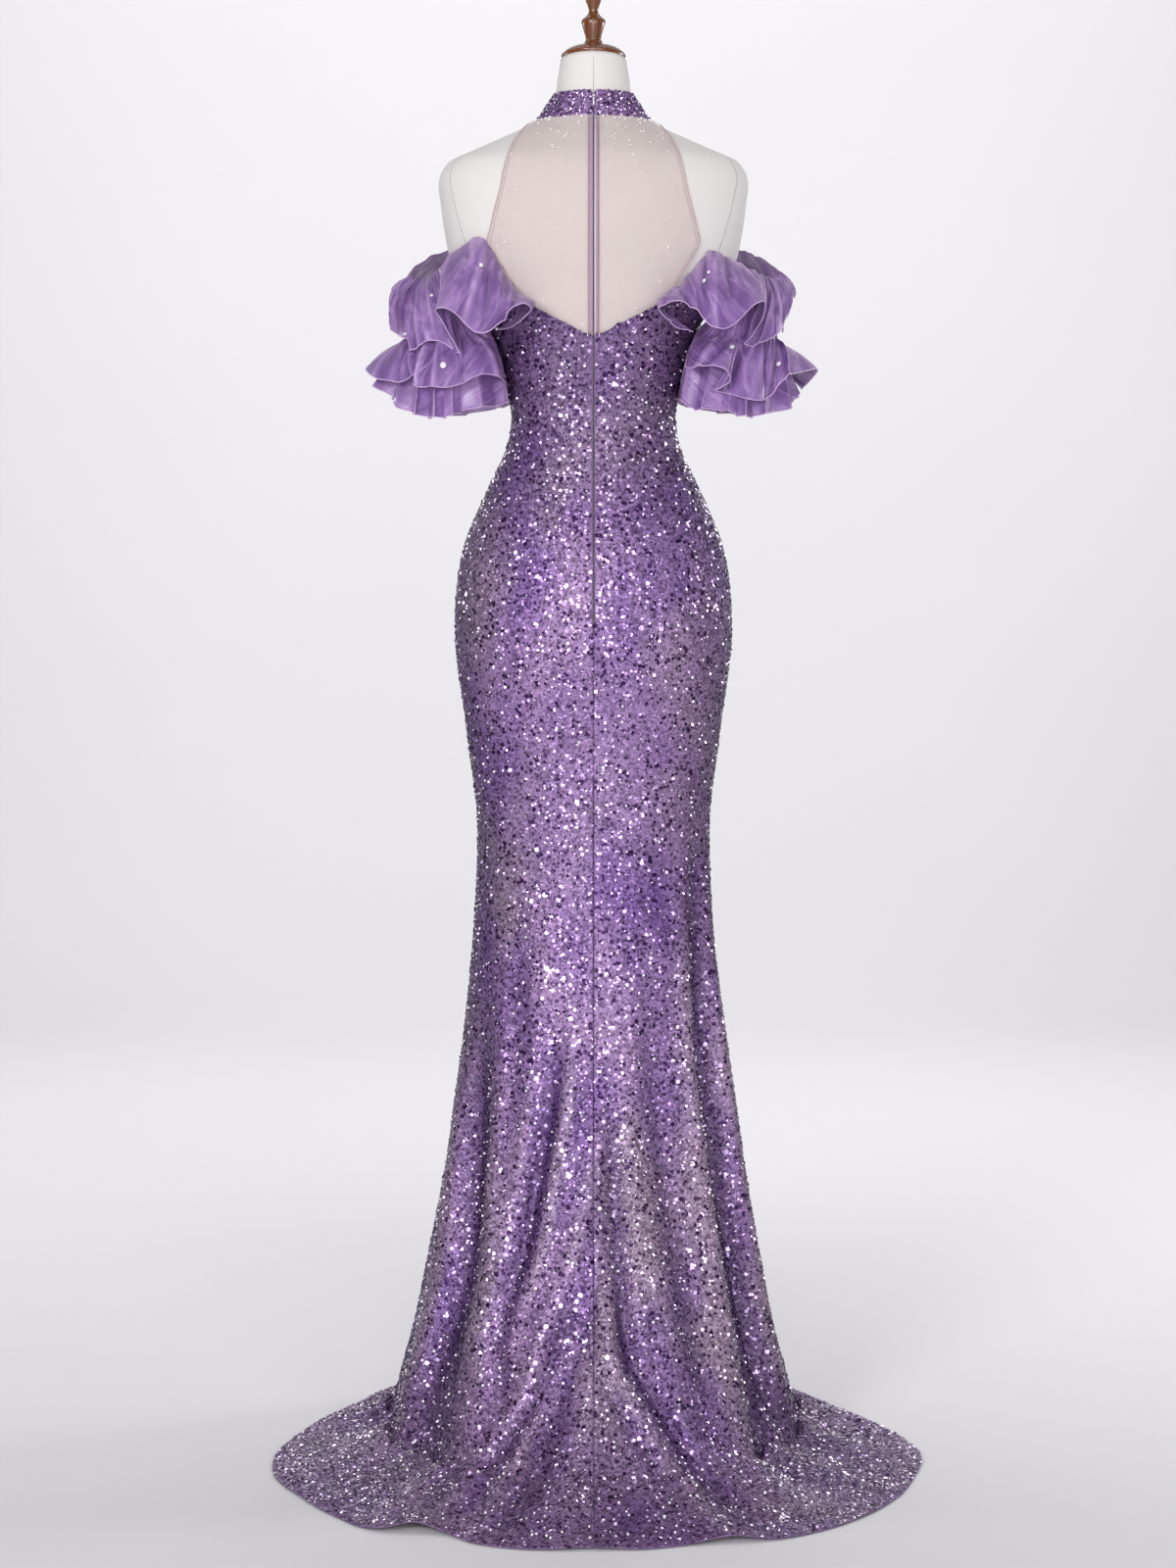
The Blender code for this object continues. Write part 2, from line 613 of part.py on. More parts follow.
def add_shell(name, outside, inside, closed, look):
    """Closed solid between two grids of the same shape."""
    rows, columns = outside.shape[:2]
    points = np.vstack([outside.reshape(-1, 3), inside.reshape(-1, 3)])
    count = rows * columns
    last = columns if closed else columns - 1
    faces = []
    for r in range(rows - 1):
        for c in range(last):
            a = r * columns + c
            b = r * columns + (c + 1) % columns
            faces.append((a, b, b + columns, a + columns))
            faces.append((count + a, count + a + columns, count + b + columns, count + b))
    for c in range(last):
        a = c
        b = (c + 1) % columns
        low_a = (rows - 1) * columns + a
        low_b = (rows - 1) * columns + b
        faces.append((a, count + a, count + b, b))
        faces.append((low_a, low_b, count + low_b, count + low_a))
    if not closed:
        for r in range(rows - 1):
            a = r * columns
            b = a + columns
            end_a = a + columns - 1
            end_b = b + columns - 1
            faces.append((a, b, count + b, count + a))
            faces.append((end_a, count + end_a, count + end_b, end_b))
    if signed_volume(points, faces) < 0.0:
        faces = [face[::-1] for face in faces]
    return add_mesh(name, points, faces, look)


def add_turned(name, profile, columns, look, tilt=0.0):
    """Turned solid from heights and radii, closed by its end rings' middles."""
    turns = np.linspace(0.0, 2.0 * math.pi, columns, endpoint=False)
    points = []
    for z, radius in profile:
        lean = tilt * (radius / CAP_REACH) ** 3
        for t in turns:
            y = -radius * math.cos(t)
            points.append((radius * math.sin(t), y, z - lean * y))
    points.append((0.0, 0.0, profile[0][0]))
    points.append((0.0, 0.0, profile[-1][0]))
    rows = len(profile)
    faces = []
    for r in range(rows - 1):
        for c in range(columns):
            a = r * columns + c
            b = r * columns + (c + 1) % columns
            faces.append((a, b, b + columns, a + columns))
    low = rows * columns
    for c in range(columns):
        nxt = (c + 1) % columns
        faces.append((low, nxt, c))
        faces.append((low + 1, (rows - 1) * columns + c, (rows - 1) * columns + nxt))
    points = np.array(points)
    if signed_volume(points, faces) < 0.0:
        faces = [face[::-1] for face in faces]
    return add_mesh(name, points, faces, look)


def add_form(look):
    """The limbless form: a closed body from the upper thigh to the neck's top."""
    columns = FORM_COLUMNS
    turns = np.arange(columns) * 360.0 / columns
    rings = []
    for z in FORM_ROWS:
        ring = ring_point(FORM, turns, np.full(columns, z), -between(SLACK, z, 1))
        if z > COLLAR_TOP + 0.01:
            ring[:, 2] -= CAP_TILT * ring[:, 1]
        rings.append(ring)
    grid = np.array(rings)
    points = np.vstack([grid.reshape(-1, 3), [(0.0, 0.0, FORM_ROWS[0]), (0.0, 0.0, FORM_ROWS[-1])]])
    top = len(points) - 2
    faces = []
    for r in range(len(FORM_ROWS) - 1):
        for c in range(columns):
            a = r * columns + c
            b = r * columns + (c + 1) % columns
            faces.append((a, b, b + columns, a + columns))
    for c in range(columns):
        nxt = (c + 1) % columns
        low = (len(FORM_ROWS) - 1) * columns
        faces.append((top, nxt, c))
        faces.append((top + 1, low + c, low + nxt))
    if signed_volume(points, faces) < 0.0:
        faces = [face[::-1] for face in faces]
    return add_mesh("form_torso", points, faces, look)


def add_panel(name, turns, look):
    """A sequinned gown panel, between the seams at its first and last turn."""
    outside = panel_rows(turns)
    normal = normals_of(outside, False) * -np.sign(turns[1] - turns[0])
    inside = outside - normal * SEQUIN_WALL
    floor_rows = len(FLOOR_ROWS)
    inside[-floor_rows:, :, 2] = np.maximum(inside[-floor_rows:, :, 2], FOOT)
    to_front = -np.cos(np.radians(turns[len(turns) // 2]))
    for grid in (outside, inside):
        for column in (0, -1):
            if abs(turns[column]) < 1.0:
                zipped = grid[:, column, 2] > ZIP_END
                gap = np.where(zipped, ZIP_GROOVE, SEAM / 2.0)
                grid[:, column, 0] = np.sign(turns[-1]) * gap
            elif abs(turns[column]) > 179.0:
                grid[:, column, 0] = np.sign(turns[-1]) * SEAM / 2.0
            else:
                grid[:, column, 1] = np.sign(to_front) * SEAM / 2.0
    return add_shell(name, outside, inside, False, look)


def mirrored(turns):
    """Turns up to the centre front, continued the same way on the other side."""
    half = np.array(turns)
    return np.concatenate([half, 360.0 - half[-2::-1]])


def wrap(rows_turn, rows_z, out, wall):
    """Outside and inside grids of cloth laid on the form."""
    outside = ring_point(FORM, rows_turn, rows_z, out + wall)
    inside = ring_point(FORM, rows_turn, rows_z, out)
    return outside, inside


def add_yoke_back(name, sign, look):
    foot = np.array(YOKE_BACK_TURNS)
    parts = (foot - foot[0]) / (foot[-1] - foot[0])
    turn_rows = []
    z_rows = []
    for centre_z, edge_x, edge_z in smooth_loop(YOKE_BACK, YOKE_ROWS, False):
        start = turn_at(TAPE_EDGE + SEAM, centre_z, YOKE_EASE)
        end = turn_at(edge_x, edge_z, YOKE_EASE)
        turn_rows.append(start + (end - start) * parts)
        z_rows.append(centre_z + (edge_z - centre_z) * parts)
    turn_rows[-1] = foot
    z_rows[-1] = between(NECKLINE, foot, 1) + YOKE_GAP
    outside, inside = wrap(sign * np.array(turn_rows), np.array(z_rows), YOKE_EASE, TULLE_WALL)
    return add_shell(name, outside, inside, False, look)


def add_yoke_front(look):
    foot = mirrored(YOKE_FRONT_TURNS)
    parts = (foot - 180.0) / (180.0 - foot[0])
    turn_rows = []
    z_rows = []
    follow_from = YOKE_ROWS - 6
    for i, (centre_z, edge_x, edge_z) in enumerate(smooth_loop(YOKE_FRONT, YOKE_ROWS, False)):
        end = turn_at(edge_x, edge_z, YOKE_EASE)
        neck = between(NECKLINE, 180.0 - np.abs(end * parts), 1) + YOKE_GAP
        z = centre_z + (edge_z - centre_z) * parts**2
        z_rows.append(z + (neck - z) * ease_in((i - follow_from) / (YOKE_ROWS - 1.0 - follow_from)))
        turn_rows.append(180.0 + end * parts)
    turn_rows[-1] = foot
    z_rows[-1] = between(NECKLINE, 180.0 - np.abs(foot - 180.0), 1) + YOKE_GAP
    outside, inside = wrap(np.array(turn_rows), np.array(z_rows), YOKE_EASE, TULLE_WALL)
    return add_shell("yoke_front", outside, inside, False, look)


def add_collar(look):
    heights = (COLLAR_TOP, COLLAR_TOP - NOTCH_DEPTH, 1.6180, COLLAR_FOOT)
    rows_turn = []
    rows_z = []
    for i, z in enumerate(heights):
        gap = COLLAR_NOTCH if i == 0 else ZIP_GROOVE
        start = turn_at(gap, z, COLLAR_EASE + COLLAR_WALL)
        rows_turn.append(np.linspace(start, 360.0 - start, COLLAR_COLUMNS))
        rows_z.append(np.full(COLLAR_COLUMNS, z))
    outside, inside = wrap(np.array(rows_turn), np.array(rows_z), COLLAR_EASE, COLLAR_WALL)
    return add_shell("collar", outside, inside, False, look)


def strip(name, left, right, heights, out, wall, look):
    """A narrow strip down the centre back between two distances across."""
    outer = []
    inner = []
    for z in heights:
        base = ring_point(FORM, np.array([0.0]), np.array([z]), out)[0]
        outer.append([(left, base[1] - wall, z), (right, base[1] - wall, z)])
        inner.append([(left, base[1], z), (right, base[1], z)])
    return add_shell(name, np.array(outer), np.array(inner), False, look)


def smooth_loop(stations, count, closed):
    """Catmull-Rom curve through stations, resampled to count points."""
    n = len(stations)
    t = np.linspace(0.0, n if closed else n - 1, count, endpoint=not closed)
    i = np.floor(t).astype(int)
    if not closed:
        i = np.minimum(i, n - 2)
    f = (t - i)[:, None]

    def pick(k):
        return stations[k % n] if closed else stations[np.clip(k, 0, n - 1)]

    p0 = pick(i - 1)
    p1 = pick(i)
    p2 = pick(i + 1)
    p3 = pick(i + 2)
    return 0.5 * (2.0 * p1 + (p2 - p0) * f + (2.0 * p0 - 5.0 * p1 + 4.0 * p2 - p3) * f**2
                  + (3.0 * p1 - p0 - 3.0 * p2 + p3) * f**3)


def flounce_rows(seam, hem, parts, swell, middle):
    """Rows of a flounce from its seam to its hem, swelling away from the arm's middle."""
    away = (seam + hem) / 2.0 - middle
    away[:, 2] = 0.0
    away = away / np.linalg.norm(away, axis=1, keepdims=True)
    rows = []
    for part in parts:
        fall = part**1.25
        row = seam + (hem - seam) * np.array([part, part, fall])
        rows.append(row + away * swell * math.sin(math.pi * part))
    return np.array(rows)


def band_ring(row, side, turns, out):
    """A ring of the arm band, from the inner back round the outside to the front."""
    z, across, back, half_width, half_depth, rise = row
    t = np.radians(turns)
    x = side * (across - (half_width + out) * np.cos(t))
    y = -back - (half_depth + out) * np.sin(t)
    return np.stack([x, y, z + rise * (1.0 - np.cos(t)) / 2.0], axis=1)


def thicken(rows, closed, wall):
    normal = normals_of(rows, closed)
    return rows + normal * wall / 2.0, rows - normal * wall / 2.0


def station_turns(hem, side):
    """Turns of hem stations round the arm band's middle."""
    x = side * hem[:, 0] - ARM_BAND[-1, 1]
    y = -(hem[:, 1] + ARM_BAND[-1, 2])
    turn = np.degrees(np.arctan2(y / ARM_BAND[-1, 4], -x / ARM_BAND[-1, 3]))
    return np.unwrap(turn, period=360.0)


def seated(seam, out):
    """The seam's points over the bodice laid at a distance off the form, easing away past the armhole."""
    width = np.abs(seam[:, 0])
    turn = turn_at(width, seam[:, 2], out)
    turn = np.where(seam[:, 1] > 0.0, 180.0 - turn, turn)
    laid = ring_point(FORM, turn, seam[:, 2], out)
    hold = 1.0 - ease_in((width - SEATED_TO) / (FREE_FROM - SEATED_TO))
    result = seam.copy()
    result[:, 1] += (laid[:, 1] - seam[:, 1]) * hold
    return result


def add_upper(name, table, side, look):
    count = 46
    seam = seated(smooth_loop(table[:, :3], count, False), GOWN_OUT + SEAM + ORGANZA_WALL / 2.0)
    hem = smooth_loop(table[:, 3:], count, False)
    middle = np.array([side * 0.170, 0.0, 1.40])
    rows = flounce_rows(seam, hem, (0.0, 0.22, 0.48, 0.75, 1.0), FLOUNCE_SWELL, middle)
    outside, inside = thicken(rows, False, ORGANZA_WALL)
    return add_shell(name, outside, inside, False, look)


def even_turns(hem, side):
    """Turns of a closed hem's points, smoothed so that the gathers spread evenly."""
    turn = station_turns(hem, side)
    step = np.diff(np.append(turn, turn[0] + 360.0 * np.sign(turn[-1] - turn[0])))
    total = step.sum()
    mean = total / len(turn)
    step = GATHER_FOLLOW * step + (1.0 - GATHER_FOLLOW) * mean
    step = np.sign(total) * np.maximum(step * np.sign(total), GATHER_LEAST * abs(mean))
    return turn[0] + np.concatenate([[0.0], np.cumsum(step)[:-1]]) * total / step.sum()


def add_over(name, table, side, look):
    count = 48
    hem = smooth_loop(table, count, True)
    turns = even_turns(hem, side)
    seam = band_ring(ARM_BAND[-1], side, turns, FRILL_CLEAR)
    middle = np.array([side * ARM_BAND[-1, 1], -ARM_BAND[-1, 2], 1.30])
    rows = flounce_rows(seam, hem, (0.0, 0.33, 0.66, 1.0), FRILL_SWELL, middle)
    outside, inside = thicken(rows, True, ORGANZA_WALL)
    return add_shell(name, outside, inside, True, look)


def add_under(name, table, side, look):
    count = 56
    hem = smooth_loop(table, count, True)
    turns = even_turns(hem, side)
    upper = [band_ring(row, side, turns, 0.0) for row in ARM_BAND]
    seam = upper[-1]
    middle = np.array([side * ARM_BAND[-1, 1], -ARM_BAND[-1, 2], 1.30])
    away = hem - middle
    away[:, 2] = 0.0
    away = away / np.linalg.norm(away, axis=1, keepdims=True)
    clear = 0.35 + 0.65 * ease_in((side * hem[:, 0] - 0.125) / 0.03)
    wave = np.cos(2.0 * math.pi * PLEATS * np.arange(count) / count)
    lower = flounce_rows(seam, hem, (0.35, 0.68, 1.0), 0.0, middle)
    for k, part in enumerate((0.30, 0.68, 1.0)):
        lower[k] += away * (PLEAT_DEPTH * part * clear * wave)[:, None]
    rows = np.concatenate([np.array(upper), lower])
    outside, inside = thicken(rows, True, ORGANZA_WALL)
    return add_shell(name, outside, inside, True, look)


def collar_back(z):
    """Depth of the collar's outside at the centre back."""
    return ring_point(FORM, np.array([0.0]), np.array([z]), COLLAR_EASE + COLLAR_WALL)[0, 1]


def add_plate(name, half_width, high, low, near, far, look):
    """A flat plate standing along the collar between two heights and two distances off it."""
    high_y = collar_back(high)
    low_y = collar_back(low)
    outer = [[(-half_width, high_y - far, high), (half_width, high_y - far, high)],
             [(-half_width, low_y - far, low), (half_width, low_y - far, low)]]
    inner = [[(-half_width, high_y - near, high), (half_width, high_y - near, high)],
             [(-half_width, low_y - near, low), (half_width, low_y - near, low)]]
    return add_shell(name, np.array(outer), np.array(inner), False, look)


def set_origin(made, origin):
    """Moves an object's origin without moving its surface."""
    for vertex in made.data.vertices:
        vertex.co = [a - b for a, b in zip(vertex.co, origin)]
    made.location = origin


def add_zip_ends(look):
    """The zip's slider at the top of the collar, and the pull tab hinged on its face."""
    face = SEAM + SLIDER_THICK
    add_plate("zip_slider", SLIDER_HALF, SLIDER_TOP, SLIDER_TOP - SLIDER_LENGTH, SEAM, face, look)
    near = face + PULL_CLEAR
    high = PULL_PIVOT + PULL_HEAD
    low = high - PULL_LENGTH
    pull = add_plate("zip_pull", PULL_HALF, high, low, near, near + PULL_THICK, look)
    lean = (collar_back(low) - collar_back(high)) * PULL_HEAD / PULL_LENGTH
    set_origin(pull, (0.0, collar_back(high) + lean - near - PULL_THICK / 2.0, PULL_PIVOT))


def material(name, colour, roughness, metallic):
    made = bpy.data.materials.new(name)
    made.use_nodes = True
    shader = made.node_tree.nodes["Principled BSDF"]
    shader.inputs["Base Color"].default_value = (*colour, 1.0)
    shader.inputs["Roughness"].default_value = roughness
    shader.inputs["Metallic"].default_value = metallic
    made.diffuse_color = (*colour, 1.0)
    return made


def main():
    for old in list(bpy.data.objects):
        bpy.data.objects.remove(old, do_unlink=True)

    linen = material("form_linen", (0.84, 0.81, 0.79), 0.85, 0.0)
    wood = material("turned_wood", (0.24, 0.10, 0.045), 0.35, 0.0)
    iron = material("stand_iron", (0.06, 0.06, 0.065), 0.45, 1.0)
    sequins = material("sequin_cloth", (0.24, 0.13, 0.38), 0.35, 0.1)
    tulle = material("tulle", (0.72, 0.60, 0.58), 0.80, 0.0)
    organza = material("organza", (0.36, 0.19, 0.52), 0.45, 0.0)
    tape = material("zip_tape", (0.52, 0.38, 0.60), 0.60, 0.0)
    dark = material("zip_coil", (0.10, 0.05, 0.14), 0.50, 0.0)
    silver = material("silver", (0.80, 0.80, 0.82), 0.20, 1.0)

    add_form(linen)
    add_turned("neck_cap", CAP, 28, wood, CAP_TILT)
    add_turned("finial", FINIAL, 14, wood)
    pole_top = FORM[-1, 0] - SEAM
    pole_foot = BASE_RISE + SEAM
    pole = [
        (pole_foot, POLE_SOCKET), (pole_foot + 0.030, POLE_SOCKET), (pole_foot + 0.036, POLE_RADIUS),
        (pole_top - 0.020, POLE_RADIUS), (pole_top - 0.012, POLE_SOCKET), (pole_top, POLE_SOCKET),
    ]
    add_turned("stand_pole", pole, 12, iron)
    base = [(0.0, BASE_RADIUS), (BASE_EDGE, BASE_RADIUS), (BASE_RISE, 0.030), (BASE_RISE, 0.024)]
    add_turned("stand_base", base, 28, iron)

    add_panel("front_right", np.array(FRONT_TURNS), sequins)
    add_panel("front_left", -np.array(FRONT_TURNS), sequins)
    add_panel("back_right", np.array(BACK_TURNS), sequins)
    add_panel("back_left", -np.array(BACK_TURNS), sequins)

    add_yoke_back("yoke_back_right", 1.0, tulle)
    add_yoke_back("yoke_back_left", -1.0, tulle)
    add_yoke_front(tulle)
    add_collar(sequins)

    rows = np.array(FORM_ROWS)
    tape_heights = [TAPE_TOP, *rows[(rows < TAPE_TOP) & (rows > TAPE_FOOT)], TAPE_FOOT]
    for name, sign in (("zip_tape_right", 1.0), ("zip_tape_left", -1.0)):
        left = min(sign * ZIP_GROOVE, sign * TAPE_EDGE)
        right = max(sign * ZIP_GROOVE, sign * TAPE_EDGE)
        strip(name, left, right, tape_heights, YOKE_EASE, TAPE_WALL, tape)
    coil_heights = [*rows[(rows < COIL_TOP) & (rows > COIL_FOOT)], COIL_FOOT]
    strip("zip_coil", SEAM - ZIP_GROOVE, ZIP_GROOVE - SEAM, coil_heights, YOKE_EASE, TAPE_WALL, dark)

    for side, word, upper, over, under in (
        (-1.0, "left", LEFT_UPPER, LEFT_OVER, LEFT_UNDER),
        (1.0, "right", RIGHT_UPPER, RIGHT_OVER, RIGHT_UNDER),
    ):
        add_upper("sleeve_" + word + "_upper", upper, side, organza)
        add_over("sleeve_" + word + "_over", over, side, organza)
        add_under("sleeve_" + word + "_under", under, side, organza)

    add_zip_ends(silver)


main()
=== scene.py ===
"""Evening gown on a dress form: sequinned body with a short train, sheer zipped yoke, flounced sleeves.

Metres, +Z up, floor at z = 0, the stand's axis on the origin. The gown's back faces -Y.
Cloth is laid out on named rings, edges and stations. Hard pieces are modelled with Blender's operators.
"""

import json
import math

import bmesh
import bpy
import numpy as np
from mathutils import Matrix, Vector
from mathutils.bvhtree import BVHTree

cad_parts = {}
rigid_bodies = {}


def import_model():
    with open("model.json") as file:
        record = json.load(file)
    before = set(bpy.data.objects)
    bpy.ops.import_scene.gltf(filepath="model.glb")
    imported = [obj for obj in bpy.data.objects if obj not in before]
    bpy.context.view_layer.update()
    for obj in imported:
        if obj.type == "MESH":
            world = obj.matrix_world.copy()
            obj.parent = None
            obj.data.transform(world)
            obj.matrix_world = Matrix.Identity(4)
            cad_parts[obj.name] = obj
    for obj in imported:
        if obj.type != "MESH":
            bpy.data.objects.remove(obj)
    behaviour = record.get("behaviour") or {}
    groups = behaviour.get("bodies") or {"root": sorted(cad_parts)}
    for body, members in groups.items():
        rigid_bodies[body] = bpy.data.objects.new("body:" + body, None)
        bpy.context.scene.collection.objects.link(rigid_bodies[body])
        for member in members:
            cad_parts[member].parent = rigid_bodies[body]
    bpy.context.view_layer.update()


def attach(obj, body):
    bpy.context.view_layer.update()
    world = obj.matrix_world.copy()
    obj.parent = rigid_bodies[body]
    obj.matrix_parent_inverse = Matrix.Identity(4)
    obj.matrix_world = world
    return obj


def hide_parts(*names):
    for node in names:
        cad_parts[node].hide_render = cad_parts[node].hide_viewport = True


bl_info = {
    "name": "Sequinned evening gown",
    "version": (1, 0, 0),
    "blender": (4, 5, 0),
    "location": "View3D > Sidebar > Gown",
    "description": "Dresses a form in a sequinned gown with a sheer back and flounced sleeves",
    "category": "Add Mesh",
}

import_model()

FULL_TURN = 2.0 * math.pi
LEVEL = np.array([1.0, 1.0, 0.0])

# Cloth: how far each lies off the form, its wall, and the part of that wall that the net itself takes.
YOKE_EASE = 0.0016
COLLAR_EASE = 0.0009
GOWN_EASE = 0.0015
SEQUIN_WALL = 0.0018
NET_SHARE = 0.55
TULLE_WALL = 0.0010
NET_WALL = TULLE_WALL * 0.45
ORGANZA_WALL = 0.0011
ORGANZA_SHARE = 0.35
COLLAR_WALL = 0.0018
FOOT = 0.0006
GOWN_OUT = GOWN_EASE + SEQUIN_WALL

# How deep cloth has to lie to take the full painted shade of a valley or the full painted highlight of a
# crest: in the skirt, in the flounces.
DEEP_FOLD = 0.009
DEEP_GATHER = 0.0016

# Seams, collar, yoke and zip.
SEAM = 0.0003
SEAM_DIP = 0.0008
YOKE_GAP = 0.0007
COLLAR_TOP = 1.6345
COLLAR_FOOT = 1.6035
COLLAR_NOTCH = 0.0030
NOTCH_DEPTH = 0.0075
ZIP_END = 1.0000
ZIP_GROOVE = 0.0009
TAPE_WALL = 0.0012
TAPE_EDGE = 0.0066
TAPE_TOP = 1.6015
TAPE_FOOT = 1.3425
COIL_TOP = 1.6200
TOOTH_PITCH = 0.0022
BESIDE_SEAM = 0.01
WAIST = 1.2409
SLIDER_TOP = 1.6290
SLIDER_HALF = 0.0022
SLIDER_LENGTH = 0.0065
SLIDER_THICK = 0.0018
PULL_HALF = 0.0015
PULL_LENGTH = 0.0120
PULL_THICK = 0.0009
PULL_PIVOT = 1.6255
PULL_HEAD = 0.0004
PULL_CLEAR = 0.0006

# Sleeves: how far the flounces swell, where the seam leaves the bodice, and the pleats of the under-frill.
FRILL_CLEAR = 0.0018
FLOUNCE_SWELL = 0.0110
FRILL_SWELL = 0.0060
SEATED_TO = 0.1270
FREE_FROM = 0.1500
GATHER_FOLLOW = 0.5
GATHER_LEAST = 0.3
PLEATS = 14
PLEAT_DEPTH = 0.0042
PLEAT_TUCK = 0.0032
PLEAT_LIFT = 0.0014

# Neck cap and stand.
CAP_TILT = 0.15
CAP_REACH = 0.0397
POLE_RADIUS = 0.0125
POLE_SOCKET = 0.0220
BASE_RADIUS = 0.1600
BASE_EDGE = 0.0090
BASE_RISE = 0.0220

# Rows and columns of the cloth.
BODICE_STEPS = 46
SKIRT_STEPS = 176
TRAIN_STEPS = 46
BACK_COLUMNS = 130
FRONT_COLUMNS = 100
YOKE_STEPS = 90

# Sequins by tone: matt dark ones, satin ones, bright ones and loose ones, with their lean and width.
SEQUIN_SIDES = 6
SATIN_TONE = 0.48
SEQUIN_KINDS = (0.08, SATIN_TONE, 0.94)
SEQUIN_LEANS = np.array([0.35, 0.50, 1.0, 0.60])
SEQUIN_WIDTHS = np.array([1.50, 0.92, 1.05, 1.60])

# The view, and the lights: name, place, width, power.
CAMERA_PLACE = (-0.0066, -4.0, 1.10)
CAMERA_TILT = 4.3
LIGHTS = (
    ("key", (-1.9, -4.0, 2.2), 1.50, 98.0),
    ("fill", (1.8, -4.2, 1.6), 1.30, 36.0),
    ("low", (-0.5, -4.4, 0.5), 1.00, 22.0),
    ("front", (0.2, -4.6, 1.3), 1.30, 42.0),
    ("top", (0.2, -1.8, 3.6), 0.80, 12.0),
    ("side_left", (-2.4, 0.9, 1.6), 0.60, 8.0),
    ("side_right", (2.4, 0.9, 1.6), 0.60, 22.0),
    ("edge_left", (-1.3, 2.9, 1.8), 0.50, 5.0),
    ("edge_right", (1.3, 2.9, 1.8), 0.50, 8.0),
)


def sizes(rows, plain=()):
    """A table in metres from rows in millimetres; its plain columns are turns, powers or places and stay."""
    table = np.array(rows, float)
    scale = np.full(table.shape[1], 0.001)
    scale[list(plain)] = 1.0
    return np.round(table * scale, 7)


# Dress form surface: height, half width, depth to the back, depth to the front, squareness.
FORM = sizes([
    (1675.5, 39.7, 39.7, 39.7, 2), (1650, 43.7, 44, 43.5, 2), (1634.5, 46, 46.5, 46, 2),
    (1618, 56.2, 53, 51.5, 2), (1603.5, 67.6, 59, 56.5, 2.05), (1592.5, 90.5, 68, 62, 2.05),
    (1583, 111.5, 76, 68, 2.1), (1573.5, 132.5, 83, 74, 2.1), (1564, 153.5, 90, 79, 2.15),
    (1556, 171.5, 94.5, 83.5, 2.2), (1544, 182.5, 99.5, 90, 2.2), (1527.8, 187.2, 104, 97, 2.2),
    (1507.8, 185.3, 108, 106, 2.2), (1473.7, 181, 110.5, 118, 2.2), (1447.8, 176.7, 110, 124, 2.2),
    (1432, 172.5, 108.5, 127.5, 2.2), (1415, 164, 106.5, 130, 2.2), (1396, 151, 104, 131, 2.2),
    (1378, 138, 101.5, 130, 2.2), (1360.5, 126.5, 97, 125, 2.2), (1346.3, 119, 94, 120, 2.2),
    (1313.2, 107, 86, 106, 2.2), (1275.3, 99.3, 78.5, 93, 2.15), (1240.9, 95.8, 76, 87, 2.15),
    (1206.5, 103, 79.5, 88, 2.15), (1170.8, 119.8, 88.5, 92.5, 2.2), (1135.1, 136, 99.5, 97.5, 2.2),
    (1099.3, 151.1, 109.5, 101, 2.2), (1063.4, 159.6, 117.5, 102, 2.2), (1027.6, 163.9, 122.2, 101, 2.2),
    (991.6, 165.2, 123, 99, 2.2), (955.7, 163.5, 120, 96, 2.2), (919.7, 158.8, 115, 93.5, 2.2),
    (883.6, 153.5, 109.5, 91, 2.15), (860, 150, 106, 90, 2.15),
], plain=[4])

# How far the form stays inside its table under the cloth: height, distance.
SLACK = sizes([
    (860, 1.5), (1200, 1.5), (1400, 1.2), (1440, 0.4), (1550, 0.5), (1573.5, 1.8), (1594, 2.8), (1603.5, 0.4),
    (1618, 0), (1675.5, 0),
])

# Skirt outside below the hip: height, half width, back, front, squareness.
SKIRT = sizes([
    (847.5, 152.7, 106.5, 93.5, 2.1), (811.3, 147.4, 104, 93, 2.1), (775.1, 143.2, 102.5, 93, 2.1),
    (738.8, 141.6, 103, 94, 2.1), (702.5, 142.3, 105, 95.5, 2.1), (629.7, 146.1, 113, 100, 2.05),
    (556.8, 152.3, 124, 107, 2.05), (483.6, 160.4, 139, 116, 2.05), (410.2, 169.7, 158, 127, 2),
    (336.6, 179.1, 181, 140, 2), (262.9, 192.1, 209, 156, 2), (188.9, 206.3, 243, 174, 2),
    (114.7, 221.8, 284, 195, 2), (77.6, 232.4, 310, 207, 2), (40.3, 242.5, 342, 221, 2),
    (15, 253, 378, 237, 2),
], plain=[4])

GOWN = np.vstack([FORM[4:34] + GOWN_OUT * np.array([0.0, 1.0, 1.0, 1.0, 0.0]), SKIRT])

# Hem on the floor: turn from the centre back in degrees, reach from the axis, lift off the floor.
HEM = sizes([
    (-180, 290, 0), (-150, 292, 0), (-123, 310, 0), (-105, 315, 0), (-92, 340, 0), (-78, 377, 0),
    (-70, 405, 1), (-58, 442, 0), (-46, 465, 1), (-37, 488, 0), (-28, 505, 3), (-24, 490, 10), (-20, 488, 3),
    (-15, 508, 0), (-8, 518, 0), (0, 512, 2), (6, 515, 0), (12, 508, 1), (17, 508, 6), (23, 518, 1),
    (30, 512, 0), (40, 492, 1), (48, 472, 0), (59, 442, 0), (67, 426, 1), (80, 382, 0), (90, 348, 0),
    (105, 312, 0), (123, 302, 0), (150, 292, 0), (180, 290, 0),
], plain=[0])

